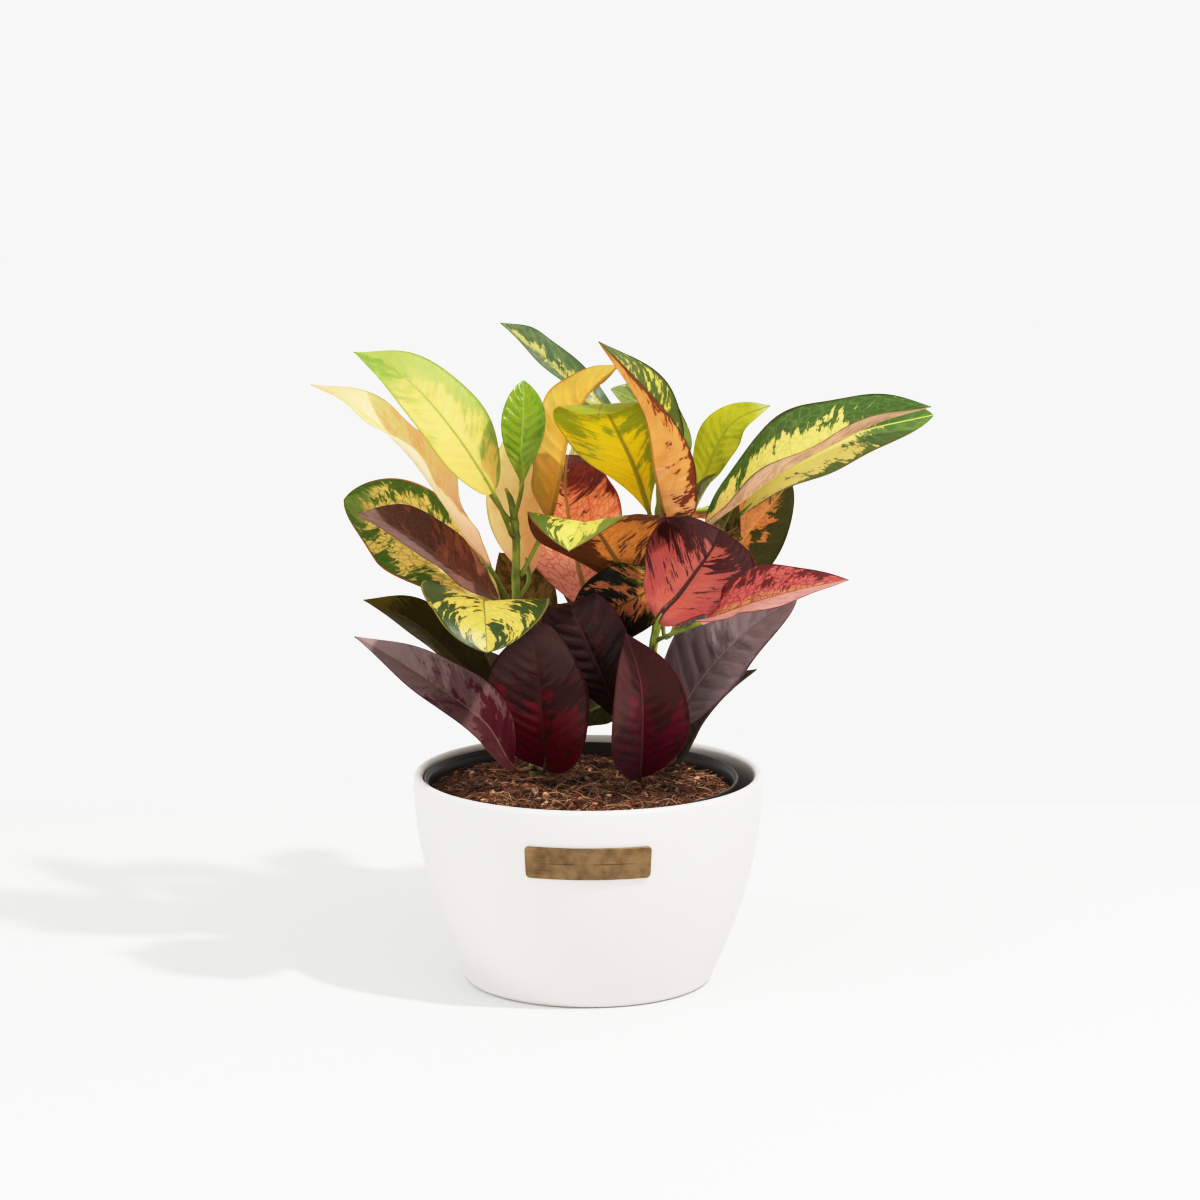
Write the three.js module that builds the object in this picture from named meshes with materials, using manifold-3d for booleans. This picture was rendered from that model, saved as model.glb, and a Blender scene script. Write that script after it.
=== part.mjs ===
// A small croton with broad mottled leaves, in a nursery liner inside a white bowl-shaped pot.
// Millimetres, +Z up, origin under the pot on its axis; the plaque faces -Y.
import * as THREE from "three";
import { mergeVertices } from "three/addons/utils/BufferGeometryUtils.js";
import Module from "manifold-3d";

const wasm = await Module();
wasm.setup();

// Driving dimensions
const GAP = 0.3; // between pieces that touch

const POT_HEIGHT = 102.5;
const RIM_RADIUS = 85;
const FOOT_RADIUS = 59;
const WALL_POWER = 1.9; // how fast the bowl's side turns upright
const WALL = 4.4;
const FLOOR = 6;
const FOOT_FILLET = 4;

const LINER_TOP_RADIUS = 76.5;
const LINER_BASE_RADIUS = 50;
const LINER_HEIGHT = 94;
const LINER_WALL = 0.9;
const LINER_SHIFT = -3.6; // the liner stands a little to the left in the pot

const SOIL_EDGE_HEIGHT = 92; // above the surface that the pot stands on
const SOIL_MOUND = 6;
const SOIL_RELIEF = 1.1;

const PLAQUE_LENGTH = 60;
const PLAQUE_HEIGHT = 15.6;
const PLAQUE_CENTRE_HEIGHT = 77;
const PLAQUE_THICKNESS = 1.1;
const PLAQUE_CORNER = 2;

const BLADE = 0.8; // leaf thickness
const RIB = 1.1; // depth of the midrib under a leaf's base
const PETIOLE_RADIUS = 1.1;
const TIP_HALF_WIDTH = 0.6;

// Stems: points up the axis as [x, y, z], with the radius at each point
const STEMS = {
  left: {
    path: [
      [-24, 12, 70], [-26, 12, 98], [-31, 12, 140], [-35, 12, 185], [-35, 12, 215],
      [-37, 12, 232], [-40, 12, 240],
    ],
    radius: [2.6, 2.5, 2.2, 2, 1.9, 1.7, 0.7],
  },
  right: {
    path: [
      [21, 6, 70], [22, 6, 92], [28, 8, 131], [32, 10, 166], [39, 12, 200],
      [43, 14, 222], [44, 15, 231],
    ],
    radius: [2.6, 2.5, 2.3, 2.1, 2, 1.6, 0.7],
  },
  back: {
    path: [
      [-22, 47, 70], [-14, 46, 102], [0, 43, 134], [21, 40, 180], [34, 36, 220],
      [33, 32, 254], [32, 31, 262],
    ],
    radius: [2.6, 2.5, 2.3, 2.1, 1.9, 1.6, 0.7],
  },
};

// Leaves: root is the height on the stem, and spine runs from the blade's base to its tip. face is the way
// the upper side looks at the base and at the tip, and fold is how far each half rises from flat, in degrees.
// peak is where the blade is widest, blunt rounds its base and tip, and wave is height, count and start.
const LEAF_SHAPE = { peak: 0.5, blunt: [0.75, 0.95], wave: [1.2, 2, 0.3] };
const LEAVES = [
  {
    name: "leaf_low_front_left", stem: "left", root: 102, width: 54,
    spine: [[-21, -3, 105], [-22, -16, 128], [-24, -18, 156], [-26, -19, 172], [-28, -17, 176]],
    face: [[-0.25, -1, 0.05], [-0.15, -0.5, 0.9]], fold: [12, 18], peak: 0.53, blunt: [0.45, 0.5],
  },
  {
    name: "leaf_low_front_right", stem: "right", root: 101, width: 46,
    spine: [[25, -6, 101], [26, -20, 128], [25, -26, 152], [18, -20, 175]],
    face: [[0.35, -0.93, 0.1], [0.3, -0.85, 0.4]], fold: [25, 25], peak: 0.45,
  },
  {
    name: "leaf_low_pleated", stem: "right", root: 117, width: 41,
    spine: [[15, -3, 129], [8, -11, 149], [-2, -14, 172], [-8, -9, 185], [-7, 2, 186]],
    face: [[-0.3, -0.9, 0.4], [-0.25, -0.5, 0.8]], fold: [5, 12], peak: 0.6, blunt: [0.75, 0.6],
  },
  {
    name: "leaf_low_right", stem: "right", root: 112, width: 50,
    spine: [[41, -2, 126], [54, -4, 148], [73, -10, 171], [100, -20, 193]],
    face: [[-0.25, -0.9, 0.35], [-0.25, -0.8, 0.5]], fold: [12, 34], peak: 0.5, blunt: [0.6, 0.5],
    wave: [0.5, 2, 0.3],
  },
  {
    name: "leaf_low_right_back", stem: "right", root: 105, width: 32,
    spine: [[43, 6, 106], [56, 10, 126], [68, 14, 139], [82, 16, 150]],
    face: [[-0.5, 0.5, 0.7], [-0.5, 0.5, 0.7]], fold: [20, 20],
  },
  {
    name: "leaf_low_left", stem: "left", root: 102, width: 34,
    spine: [[-36, -16, 108], [-49, -27, 132], [-68, -35, 149], [-89, -39, 164], [-111, -38, 177]],
    face: [[0.5, -0.6, 0.6], [0.5, -0.55, 0.65]], fold: [14, 20], peak: 0.44,
  },
  {
    name: "leaf_left_dark", stem: "left", root: 135, width: 32,
    spine: [[-41, 10, 136], [-62, 12, 153], [-84, 12, 173], [-109, 8, 186]],
    face: [[0.5, -0.5, 0.7], [0.45, -0.5, 0.7]], fold: [22, 22],
  },
  {
    name: "leaf_low_centre", stem: "right", root: 116, width: 30,
    spine: [[26, 18, 134], [12, 22, 132], [0, 24, 127], [-13, 24, 118]],
    face: [[0, 0.8, 0.5], [0, 0.8, 0.5]], fold: [15, 15],
  },
  {
    name: "leaf_left_maroon", stem: "left", root: 174, width: 36,
    spine: [[-43, 2, 186], [-66, -6, 205], [-82, -14, 219], [-96, -22, 228], [-110, -28, 234]],
    face: [[0.45, -0.5, 0.74], [0.45, -0.5, 0.74]], fold: [20, 20],
  },
  {
    name: "leaf_left_broad", stem: "left", root: 178, width: 49,
    spine: [[-42, 14, 182], [-67, 18, 203], [-94, 18, 221], [-118, 8, 235]],
    face: [[0.1, -0.85, 0.5], [0.1, -0.85, 0.5]], fold: [10, 10], peak: 0.58, blunt: [0.72, 0.6],
    wave: [1.5, 2, 0.3],
  },
  {
    name: "leaf_front_arched", stem: "left", root: 165, width: 62,
    spine: [[-41, -7, 168], [-45, -27, 184], [-49, -49, 196], [-48, -70, 190], [-47, -82, 178]],
    face: [[0, 0.5, 0.85], [0.1, -0.75, 0.65]], fold: [8, 14], peak: 0.62, blunt: [0.6, 0.6],
  },
  {
    name: "leaf_centre_dark", stem: "left", root: 160, width: 30,
    spine: [[-19, 32, 167], [-29, 37, 182], [-44, 43, 203]],
    face: [[0, -1, 0.2], [0, -1, 0.2]], fold: [12, 12],
  },
  {
    name: "leaf_centre_net", stem: "right", root: 195, width: 40,
    spine: [[39, 6, 198], [26, 1, 190], [9, 2, 181], [-9, 5, 171]],
    face: [[-0.3, -0.8, 0.5], [-0.2, -0.9, 0.4]], fold: [12, 12], peak: 0.48, blunt: [0.65, 0.65],
  },
  {
    name: "leaf_right_red", stem: "right", root: 150, width: 64,
    spine: [[33, -37, 184], [43, -34, 196], [52, -32, 208], [59, -31, 218], [63, -31, 227]],
    face: [[-0.3, -0.8, 0.5], [-0.35, -0.65, 0.65]], fold: [8, 4], peak: 0.72, blunt: [0.32, 0.3],
  },
  {
    name: "leaf_right_pink", stem: "right", root: 166, width: 38,
    spine: [[54, -53, 187], [74, -64, 197], [96, -66, 204], [122, -63, 209]],
    face: [[0, -0.45, 0.9], [0, -0.5, 0.85]], fold: [16, 26], peak: 0.42, blunt: [0.75, 0.95],
  },
  {
    name: "leaf_right_orange", stem: "right", root: 173, width: 38,
    spine: [[39, 12, 167], [56, 17, 188], [79, 22, 218], [98, 20, 242]],
    face: [[0, -1, 0.2], [0, -1, 0.3]], fold: [12, 12], peak: 0.6, blunt: [0.75, 0.65],
  },
  {
    name: "leaf_right_dark_tip", stem: "right", root: 197, width: 22,
    spine: [[48, 10, 190], [56, 9, 206], [65, 7, 221], [72, 7, 236]],
    face: [[0, -1, 0.2], [0, -1, 0.2]], fold: [20, 20],
  },
  {
    name: "leaf_centre_coral", stem: "back", root: 168, width: 53,
    spine: [[2, 36, 175], [-6, 34, 202], [-11, 37, 231], [-11, 42, 246], [-10, 52, 250]],
    face: [[0, -1, 0.2], [0, -0.6, 0.9]], fold: [10, 10], peak: 0.58, blunt: [0.7, 0.6],
  },
  {
    name: "leaf_centre_arched", stem: "back", root: 220, width: 68,
    spine: [[26, 28, 189], [14, 10, 205], [5, -16, 223], [-3, -36, 231], [-9, -54, 221]],
    face: [[0.1, 0.8, 0.6], [-0.1, -0.75, 0.65]], fold: [22, -4], peak: 0.62,
  },
  {
    name: "leaf_top_yellow", stem: "right", root: 197, width: 56,
    spine: [[31, 14, 222], [22, 2, 252], [12, -8, 275], [7, -24, 286], [5, -36, 283]],
    face: [[0, 0.95, 0.2], [0, -0.35, 0.95]], fold: [8, -8], peak: 0.68, blunt: [0.95, 0.55],
  },
  {
    name: "leaf_top_folded", stem: "right", root: 211, width: 54,
    spine: [[37, -4, 228], [32, -22, 254], [26, -32, 285], [5, -30, 317]],
    face: [[0.97, 0.1, 0.2], [0.62, -0.4, 0.7]], fold: [42, 36], peak: 0.38,
  },
  {
    name: "leaf_top_narrow", stem: "left", root: 197, width: 36,
    spine: [[-19, 15, 225], [-14, 11, 245], [-9, 11, 268], [0, 13, 286], [15, 13, 300]],
    face: [[-0.95, 0.15, 0.2], [-0.3, 0.9, 0.3]], fold: [45, 45], peak: 0.5, blunt: [0.5, 0.9],
    wave: [1.5, 4, 0.2],
  },
  {
    name: "leaf_centre_cream", stem: "back", root: 157, width: 30,
    spine: [[2, 48, 178], [0, 50, 208], [-3, 54, 232], [-7, 54, 257]],
    face: [[0, -1, 0.2], [0, -1, 0.2]], fold: [12, 12],
  },
  {
    name: "leaf_left_cream", stem: "left", root: 186, width: 30,
    spine: [[-29, 20, 196], [-35, 25, 226], [-32, 28, 255], [-23, 30, 280]],
    face: [[0, -1, 0.2], [0, -1, 0.2]], fold: [10, 10], peak: 0.45,
  },
  {
    name: "leaf_left_long", stem: "left", root: 181, width: 38,
    spine: [
      [-48, -4, 205], [-59, -10, 221], [-69, -15, 238], [-87, -17, 263], [-112, -14, 284], [-132, -12, 294],
    ],
    face: [[0.74, -0.1, 0.65], [0.5, -0.6, 0.6]], fold: [35, 17], peak: 0.45, wave: [3.2, 2.6, 0.8],
  },
  {
    name: "leaf_left_yellow", stem: "left", root: 217, width: 40,
    spine: [[-46, 0, 240], [-65, -6, 271], [-87, -7, 296], [-112, 0, 308]],
    face: [[0.5, -0.73, 0.44], [0.45, -0.75, 0.45]], fold: [14, 14], peak: 0.42, blunt: [0.65, 1],
  },
  {
    name: "leaf_young_green", stem: "left", root: 226, width: 22,
    spine: [[-32, -2, 243], [-32, -5, 261], [-31, -4, 280], [-31, 2, 294]],
    face: [[0.1, -0.95, 0.2], [0.1, -0.95, 0.2]], fold: [14, 14], peak: 0.6, blunt: [0.9, 0.75],
  },
  {
    name: "leaf_young_lime", stem: "right", root: 223, width: 23,
    spine: [[54, 22, 239], [62, 24, 258], [71, 24, 271], [88, 22, 279]],
    face: [[-0.3, -0.8, 0.4], [-0.3, -0.7, 0.5]], fold: [12, 12], peak: 0.45,
  },
  {
    name: "leaf_top_green", stem: "back", root: 228, width: 24,
    spine: [[48, 40, 252], [37, 38, 267], [25, 34, 278], [11, 30, 286]],
    face: [[0.2, -0.8, 0.6], [0.2, -0.8, 0.6]], fold: [12, 12], peak: 0.5, blunt: [0.75, 0.75],
    wave: [1, 2, 0.3],
  },
  {
    name: "leaf_top_back", stem: "back", root: 253, width: 27,
    spine: [[16, 29, 268], [1, 42, 278], [-16, 35, 296], [-42, 8, 321]],
    face: [[0.6, -0.5, 0.63], [0.63, -0.45, 0.63]], fold: [15, 15],
  },
  {
    name: "leaf_young_sliver", stem: "right", root: 215, width: 13,
    spine: [[47, 10, 222], [51, 12, 230], [56, 13, 239], [62, 14, 247]],
    face: [[-0.8, -0.3, 0.4], [-0.8, -0.3, 0.4]], fold: [50, 50],
  },
  {
    name: "leaf_right_long", stem: "right", root: 212, width: 46,
    spine: [
      [56, -2, 224], [73, -6, 237], [91, -10, 251], [115, -14, 265], [139, -16, 277], [163, -16, 284],
    ],
    face: [[-0.48, -0.39, 0.78], [-0.4, -0.45, 0.8]], fold: [48, 46], wave: [2, 2.2, 0.2],
  },
  {
    name: "leaf_right_under", stem: "right", root: 210, width: 36,
    spine: [[71, 14, 225], [88, 12, 242], [108, 8, 256], [131, 2, 269], [165, -4, 278]],
    face: [[-0.3, -0.7, 0.65], [-0.3, -0.7, 0.65]], fold: [14, 14], peak: 0.6, blunt: [0.8, 0.7],
  },
  {
    name: "leaf_back_low_centre", stem: "back", root: 121, width: 38,
    spine: [[-2, 58, 126], [6, 84, 135], [8, 104, 141], [10, 120, 144]],
    face: [[0, -0.3, 1], [0, 0.1, 1]], fold: [16, 16],
  },
  {
    name: "leaf_back_low_left", stem: "back", root: 109, width: 38,
    spine: [[-22, 60, 115], [-40, 78, 127], [-55, 92, 135], [-70, 104, 146]],
    face: [[0.3, -0.2, 1], [0.1, 0, 1]], fold: [16, 16],
  },
  {
    name: "leaf_back_low_right", stem: "back", root: 144, width: 36,
    spine: [[25, 52, 137], [46, 72, 133], [64, 92, 133], [78, 112, 137]],
    face: [[-0.3, -0.2, 1], [-0.1, 0, 1]], fold: [16, 16],
  },
  {
    name: "leaf_back_middle_left", stem: "back", root: 177, width: 42,
    spine: [[15, 56, 187], [3, 72, 194], [-9, 90, 198], [-21, 106, 201]],
    face: [[0.3, -0.4, 1], [0.1, 0, 1]], fold: [16, 16],
  },
  {
    name: "leaf_back_middle_right", stem: "back", root: 210, width: 42,
    spine: [[42, 50, 205], [55, 70, 199], [70, 92, 196], [83, 110, 193]],
    face: [[-0.3, -0.4, 1], [-0.1, 0, 1]], fold: [16, 16],
  },
  {
    name: "leaf_back_upper_left", stem: "left", root: 224, width: 30,
    spine: [[-52, 9, 245], [-62, 34, 257], [-73, 54, 269], [-86, 72, 279]],
    face: [[0.5, -0.4, 0.8], [0.4, -0.3, 0.9]], fold: [16, 16],
  },
  {
    name: "leaf_back_upper_right", stem: "back", root: 225, width: 26,
    spine: [[62, 46, 225], [83, 62, 235], [104, 78, 245], [125, 90, 254]],
    face: [[-0.3, -0.3, 0.9], [-0.2, -0.1, 1]], fold: [16, 16],
  },
  {
    name: "leaf_back_top", stem: "back", root: 251, width: 40,
    spine: [[29, 44, 254], [23, 62, 256], [17, 84, 255], [12, 104, 249]],
    face: [[0.1, -0.4, 0.9], [0, 0.1, 1]], fold: [16, 16],
  },
  {
    name: "leaf_back_inner_left", stem: "back", root: 142, width: 36,
    spine: [[-10, 58, 150], [-26, 74, 156], [-42, 88, 160], [-56, 100, 162]],
    face: [[0.3, -0.3, 1], [0.1, 0, 1]], fold: [16, 16],
  },
  {
    name: "leaf_back_centre", stem: "back", root: 158, width: 38,
    spine: [[4, 60, 162], [5, 78, 169], [3, 96, 172], [1, 112, 171]],
    face: [[0, -0.3, 1], [0, 0.1, 1]], fold: [16, 16],
  },
  {
    name: "leaf_back_upper_centre", stem: "back", root: 226, width: 36,
    spine: [[38, 52, 218], [48, 68, 217], [60, 84, 213], [70, 100, 206]],
    face: [[-0.3, -0.3, 1], [-0.1, 0, 1]], fold: [16, 16],
  },
  {
    name: "leaf_back_side_right", stem: "right", root: 122, width: 34,
    spine: [[50, 30, 144], [64, 46, 152], [78, 60, 158], [92, 72, 160]],
    face: [[-0.3, -0.3, 1], [-0.1, 0, 1]], fold: [16, 16],
  },
];

const COLOURS = {
  pot: "#f3f2f0",
  liner: "#17181a",
  soil: "#4a2f1d",
  brass: "#8a6a3c",
  stem: "#3f5a24",
  leaf: "#7d3a34",
};

function surface(colour, roughness, metalness = 0) {
  return new THREE.MeshStandardMaterial({ color: colour, roughness, metalness });
}

function vector(point) {
  return new THREE.Vector3(point[0], point[1], point[2]);
}

function radians(degrees) {
  return (degrees * Math.PI) / 180;
}

// Six times the volume inside an indexed triangle mesh, negative when its faces look inwards
function signedVolume(points, faces) {
  let sum = 0;
  const cross = new THREE.Vector3();
  for (let i = 0; i < faces.length; i += 3) {
    cross.crossVectors(points[faces[i + 1]], points[faces[i + 2]]);
    sum += points[faces[i]].dot(cross);
  }
  return sum;
}

function geometryOf(points, faces) {
  if (signedVolume(points, faces) < 0) faces.reverse();
  const geometry = new THREE.BufferGeometry().setFromPoints(points);
  geometry.setIndex(faces);
  geometry.computeVertexNormals();
  return geometry;
}

// A closed solid through a row of round rings with the same number of points
function roundLoft(rings) {
  const count = rings[0].length;
  const points = rings.flat();
  const faces = [];
  for (let r = 0; r + 1 < rings.length; r += 1) {
    for (let k = 0; k < count; k += 1) {
      const a = r * count + k;
      const b = r * count + ((k + 1) % count);
      faces.push(a, b, b + count, a, b + count, a + count);
    }
  }
  const last = (rings.length - 1) * count;
  for (let k = 1; k + 1 < count; k += 1) {
    faces.push(0, k + 1, k);
    faces.push(last, last + k, last + k + 1);
  }
  return geometryOf(points, faces);
}

// A closed solid through rings of a thin section: half of a ring's points run across its top and half back
// under it. Top and bottom are split along the same diagonals, so a waved blade never cuts itself.
function bladeLoft(rings) {
  const count = rings[0].length;
  const half = count / 2;
  const points = rings.flat();
  const faces = [];
  for (let r = 0; r + 1 < rings.length; r += 1) {
    for (let k = 0; k < count; k += 1) {
      const a = r * count + k;
      const b = r * count + ((k + 1) % count);
      const c = a + count;
      const d = b + count;
      if (k < half) faces.push(a, b, d, a, d, c);
      else faces.push(a, b, c, b, d, c);
    }
  }
  const last = (rings.length - 1) * count;
  for (let k = 0; k + 1 < half; k += 1) {
    const under = count - 1 - k;
    faces.push(k, under, under - 1, k, under - 1, k + 1);
    faces.push(last + k, last + under - 1, last + under, last + k, last + k + 1, last + under - 1);
  }
  return geometryOf(points, faces);
}

function solidOf(geometry) {
  const plain = new THREE.BufferGeometry();
  plain.setAttribute("position", geometry.getAttribute("position").clone());
  if (geometry.index) plain.setIndex(geometry.index.clone());
  const merged = mergeVertices(plain, 1e-4);
  const triVerts = new Uint32Array(merged.index.array);
  return new wasm.Manifold(
    new wasm.Mesh({ numProp: 3, vertProperties: merged.attributes.position.array, triVerts }),
  );
}

function geometryOfSolid(solid) {
  const mesh = solid.getMesh();
  const geometry = new THREE.BufferGeometry();
  geometry.setAttribute("position", new THREE.BufferAttribute(mesh.vertProperties, 3));
  geometry.setIndex(new THREE.BufferAttribute(mesh.triVerts, 1));
  geometry.computeVertexNormals();
  return geometry;
}

// The bowl
function wallRadius(height) {
  const below = 1 - Math.min(height / (POT_HEIGHT - 2.5), 1);
  return RIM_RADIUS - (RIM_RADIUS - FOOT_RADIUS) * below ** WALL_POWER;
}

function potGeometry() {
  const profile = [new THREE.Vector2(0, 0)];
  const footEdge = wallRadius(FOOT_FILLET);
  for (const turn of [0, 30, 60]) {
    const angle = radians(turn);
    const x = footEdge - FOOT_FILLET + FOOT_FILLET * Math.sin(angle);
    profile.push(new THREE.Vector2(x, FOOT_FILLET - FOOT_FILLET * Math.cos(angle)));
  }
  for (const height of [4, 12, 22, 34, 48, 64, 82, 98]) {
    profile.push(new THREE.Vector2(wallRadius(height), height));
  }
  const lip = WALL / 2;
  for (const turn of [15, 50, 90, 130, 165]) {
    const angle = radians(turn);
    const x = RIM_RADIUS - lip + lip * Math.cos(angle);
    profile.push(new THREE.Vector2(x, POT_HEIGHT - lip + lip * Math.sin(angle)));
  }
  for (const height of [92, 70, 48, 28, 14]) {
    profile.push(new THREE.Vector2(wallRadius(height) - WALL, height));
  }
  profile.push(new THREE.Vector2(wallRadius(FLOOR) - WALL - 5, FLOOR));
  profile.push(new THREE.Vector2(0, FLOOR));
  return new THREE.LatheGeometry(profile, 56);
}

// The plaque follows the bowl's wall
function plaqueGeometry() {
  const corner = [90, 60, 30, 0].map((turn) => radians(turn));
  const straight = PLAQUE_LENGTH / 2 - PLAQUE_CORNER;
  const stations = [];
  for (const angle of corner) {
    stations.push([straight + PLAQUE_CORNER * Math.sin(angle), PLAQUE_CORNER * (1 - Math.cos(angle))]);
  }
  for (let k = 1; k <= 5; k += 1) stations.push([straight * (1 - k / 5), 0]);
  const mirrored = stations.slice(0, -1).map(([x, inset]) => [-x, inset]);
  const all = [...stations, ...mirrored.reverse()];
  const rings = all.map(([x, inset]) => {
    const reach = PLAQUE_HEIGHT / 2 - inset;
    const place = (rise, lift) => {
      const height = PLAQUE_CENTRE_HEIGHT + rise;
      const radius = wallRadius(height) + GAP + lift;
      const angle = x / wallRadius(PLAQUE_CENTRE_HEIGHT);
      return new THREE.Vector3(radius * Math.sin(angle), -radius * Math.cos(angle), height);
    };
    return [
      place(reach, PLAQUE_THICKNESS), place(0, PLAQUE_THICKNESS), place(-reach, PLAQUE_THICKNESS),
      place(-reach, 0), place(0, 0), place(reach, 0),
    ];
  });
  return bladeLoft(rings);
}

function linerGeometry() {
  const base = FLOOR + GAP;
  const top = base + LINER_HEIGHT;
  const profile = [
    [0, base],
    [LINER_BASE_RADIUS - 2, base],
    [LINER_BASE_RADIUS, base + 2],
    [LINER_TOP_RADIUS - 1.4, top - 5],
    [LINER_TOP_RADIUS, top - 4.5],
    [LINER_TOP_RADIUS, top - 0.4],
    [LINER_TOP_RADIUS - 0.5, top],
    [LINER_TOP_RADIUS - LINER_WALL, top],
    [LINER_TOP_RADIUS - LINER_WALL - 0.1, top - 4],
    [LINER_TOP_RADIUS - LINER_WALL - 1.4, top - 5.4],
    [LINER_BASE_RADIUS - LINER_WALL, base + 2.4],
    [LINER_BASE_RADIUS - 2.4, base + LINER_WALL + 0.2],
    [0, base + LINER_WALL + 0.2],
  ];
  return new THREE.LatheGeometry(profile.map(([x, y]) => new THREE.Vector2(x, y)), 56);
}

// Height of the soil's top at a distance and angle from the liner's axis
function soilHeight(x, y, share) {
  const mound = SOIL_MOUND * (1 - share * share);
  const broad = Math.sin(x * 0.21 + 1.3) * Math.cos(y * 0.27 - 0.4);
  const slanted = 0.6 * Math.sin(x * 0.13 - y * 0.19 + 2.1);
  return SOIL_EDGE_HEIGHT + mound + SOIL_RELIEF * (broad + slanted) * (1 - share ** 4);
}

function soilGeometry() {
  const segments = 40;
  const shares = [1, 0.93, 0.82, 0.68, 0.52, 0.35, 0.17];
  const base = FLOOR + GAP + LINER_WALL + 0.2 + GAP;
  const slope = (LINER_TOP_RADIUS - 1.4 - LINER_BASE_RADIUS) / (LINER_HEIGHT - 7);
  const inner = (height) => LINER_BASE_RADIUS + slope * (height - FLOOR - GAP - 2) - LINER_WALL - 2 * GAP;
  const edge = inner(SOIL_EDGE_HEIGHT - 2);
  const ring = (radius, heightAt) =>
    Array.from({ length: segments }, (_, k) => {
      const angle = (2 * Math.PI * k) / segments;
      const x = radius * Math.cos(angle);
      const y = radius * Math.sin(angle);
      return new THREE.Vector3(x, y, heightAt(x, y));
    });
  const rings = [ring(inner(base + 4) - 5, () => base), ring(inner(base + 4), () => base + 4)];
  rings.push(ring(edge, () => SOIL_EDGE_HEIGHT - 2));
  for (const share of shares) rings.push(ring(edge * share, (x, y) => soilHeight(x, y, share)));
  return roundLoft(rings);
}

function axisPoint(stem, height) {
  const { path, radius } = STEMS[stem];
  let k = 1;
  while (k + 1 < path.length && path[k][2] < height) k += 1;
  const share = (height - path[k - 1][2]) / (path[k][2] - path[k - 1][2]);
  const point = vector(path[k - 1]).lerp(vector(path[k]), share);
  return { point, radius: radius[k - 1] + (radius[k] - radius[k - 1]) * share };
}

// A tapered round shoot up a stem's path, made wider by extra
function stemGeometry(stem, extra, firstPoint, lastPoint) {
  const sides = 10;
  const { path, radius } = STEMS[stem];
  const rings = [];
  for (let k = firstPoint; k <= lastPoint; k += 1) {
    const ring = [];
    for (let s = 0; s < sides; s += 1) {
      const angle = (2 * Math.PI * s) / sides;
      const reach = radius[k] + extra;
      ring.push(vector(path[k]).add(new THREE.Vector3(reach * Math.cos(angle), reach * Math.sin(angle), 0)));
    }
    rings.push(ring);
  }
  return roundLoft(rings);
}

// The curve from a stem's side through a leaf's spine, and the share of its length that the petiole takes
function leafCurve(leaf) {
  const spine = leaf.spine.map(vector);
  const axis = axisPoint(leaf.stem, leaf.root);
  const outward = spine[0].clone().sub(axis.point).setZ(0).normalize();
  const reach = axis.radius + GAP + 0.2;
  const start = axis.point.clone().addScaledVector(outward, reach);
  const curve = new THREE.CatmullRomCurve3([start, ...spine], false, "catmullrom", 0.5);
  curve.arcLengthDivisions = 40 * spine.length;
  const lengths = curve.getLengths();
  return { curve, outward, petiole: lengths[40] / lengths[lengths.length - 1] };
}

// Share of the full half width along the blade
function outline(leaf, along) {
  const turned = along ** (Math.log(0.5) / Math.log(leaf.peak));
  const power = leaf.blunt[0] * (1 - turned) + leaf.blunt[1] * turned;
  return Math.max(Math.sin(Math.PI * turned), 0) ** power;
}

function leafGeometry(row) {
  const leaf = { ...LEAF_SHAPE, ...row };
  const { curve, outward, petiole } = leafCurve(leaf);
  const faces = leaf.face.map(vector);
  const frameAt = (share, along) => {
    const centre = curve.getPointAt(share);
    const forward = curve.getTangentAt(share);
    const up = faces[0].clone().lerp(faces[1], along);
    up.addScaledVector(forward, -up.dot(forward)).normalize();
    const side = new THREE.Vector3().crossVectors(forward, up);
    return { centre, side, up };
  };
  const rings = [];
  const round = ({ centre, side, up }, radius) => {
    const turns = [162, 126, 90, 54, 18, -18, -54, -90, -126, -162];
    const ring = turns.map((turn) => {
      const angle = radians(turn);
      return centre
        .clone()
        .addScaledVector(side, radius * Math.cos(angle))
        .addScaledVector(up, radius * Math.sin(angle));
    });
    rings.push(ring);
  };
  // The petiole's foot is square to the stem, so it lies along the stem's side
  const foot = frameAt(0, 0);
  foot.up.addScaledVector(outward, -foot.up.dot(outward)).normalize();
  foot.side.crossVectors(outward, foot.up);
  round(foot, PETIOLE_RADIUS);
  round(frameAt(petiole * 0.5, 0), PETIOLE_RADIUS);
  for (const along of [0, 0.07, 0.2, 0.35, 0.5, 0.65, 0.8, 0.92, 1]) {
    const frame = frameAt(petiole + (1 - petiole) * along, along);
    const least = along < 0.5 ? PETIOLE_RADIUS : TIP_HALF_WIDTH;
    const half = Math.max((leaf.width / 2) * outline(leaf, along), least);
    const [height, count, start] = leaf.wave;
    const top = [];
    const under = [];
    for (const across of [-1, -0.5, 0, 0.5, 1]) {
      const hand = Math.sign(across);
      const share = Math.abs(across);
      const fold = radians(leaf.fold[hand > 0 ? 1 : 0]) * (share > 0 ? 1 : 0);
      const phase = 2 * Math.PI * (count * along + start + (hand > 0 ? 0.35 : 0));
      const ripple = height * Math.sin(phase) * share * share * Math.sin(Math.PI * along);
      const point = frame.centre
        .clone()
        .addScaledVector(frame.side, hand * share * half * Math.cos(fold))
        .addScaledVector(frame.up, share * half * Math.sin(fold) + ripple);
      const normal = frame.up.clone().multiplyScalar(Math.cos(fold));
      normal.addScaledVector(frame.side, -hand * Math.sin(fold));
      const rib = across === 0 ? RIB * (1 - 0.8 * along) : 0;
      top.push(point.clone().addScaledVector(normal, BLADE / 2));
      under.push(point.clone().addScaledVector(normal, -BLADE / 2 - rib));
    }
    rings.push([...top, ...under.reverse()]);
  }
  return bladeLoft(rings);
}

const group = new THREE.Group();

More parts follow.
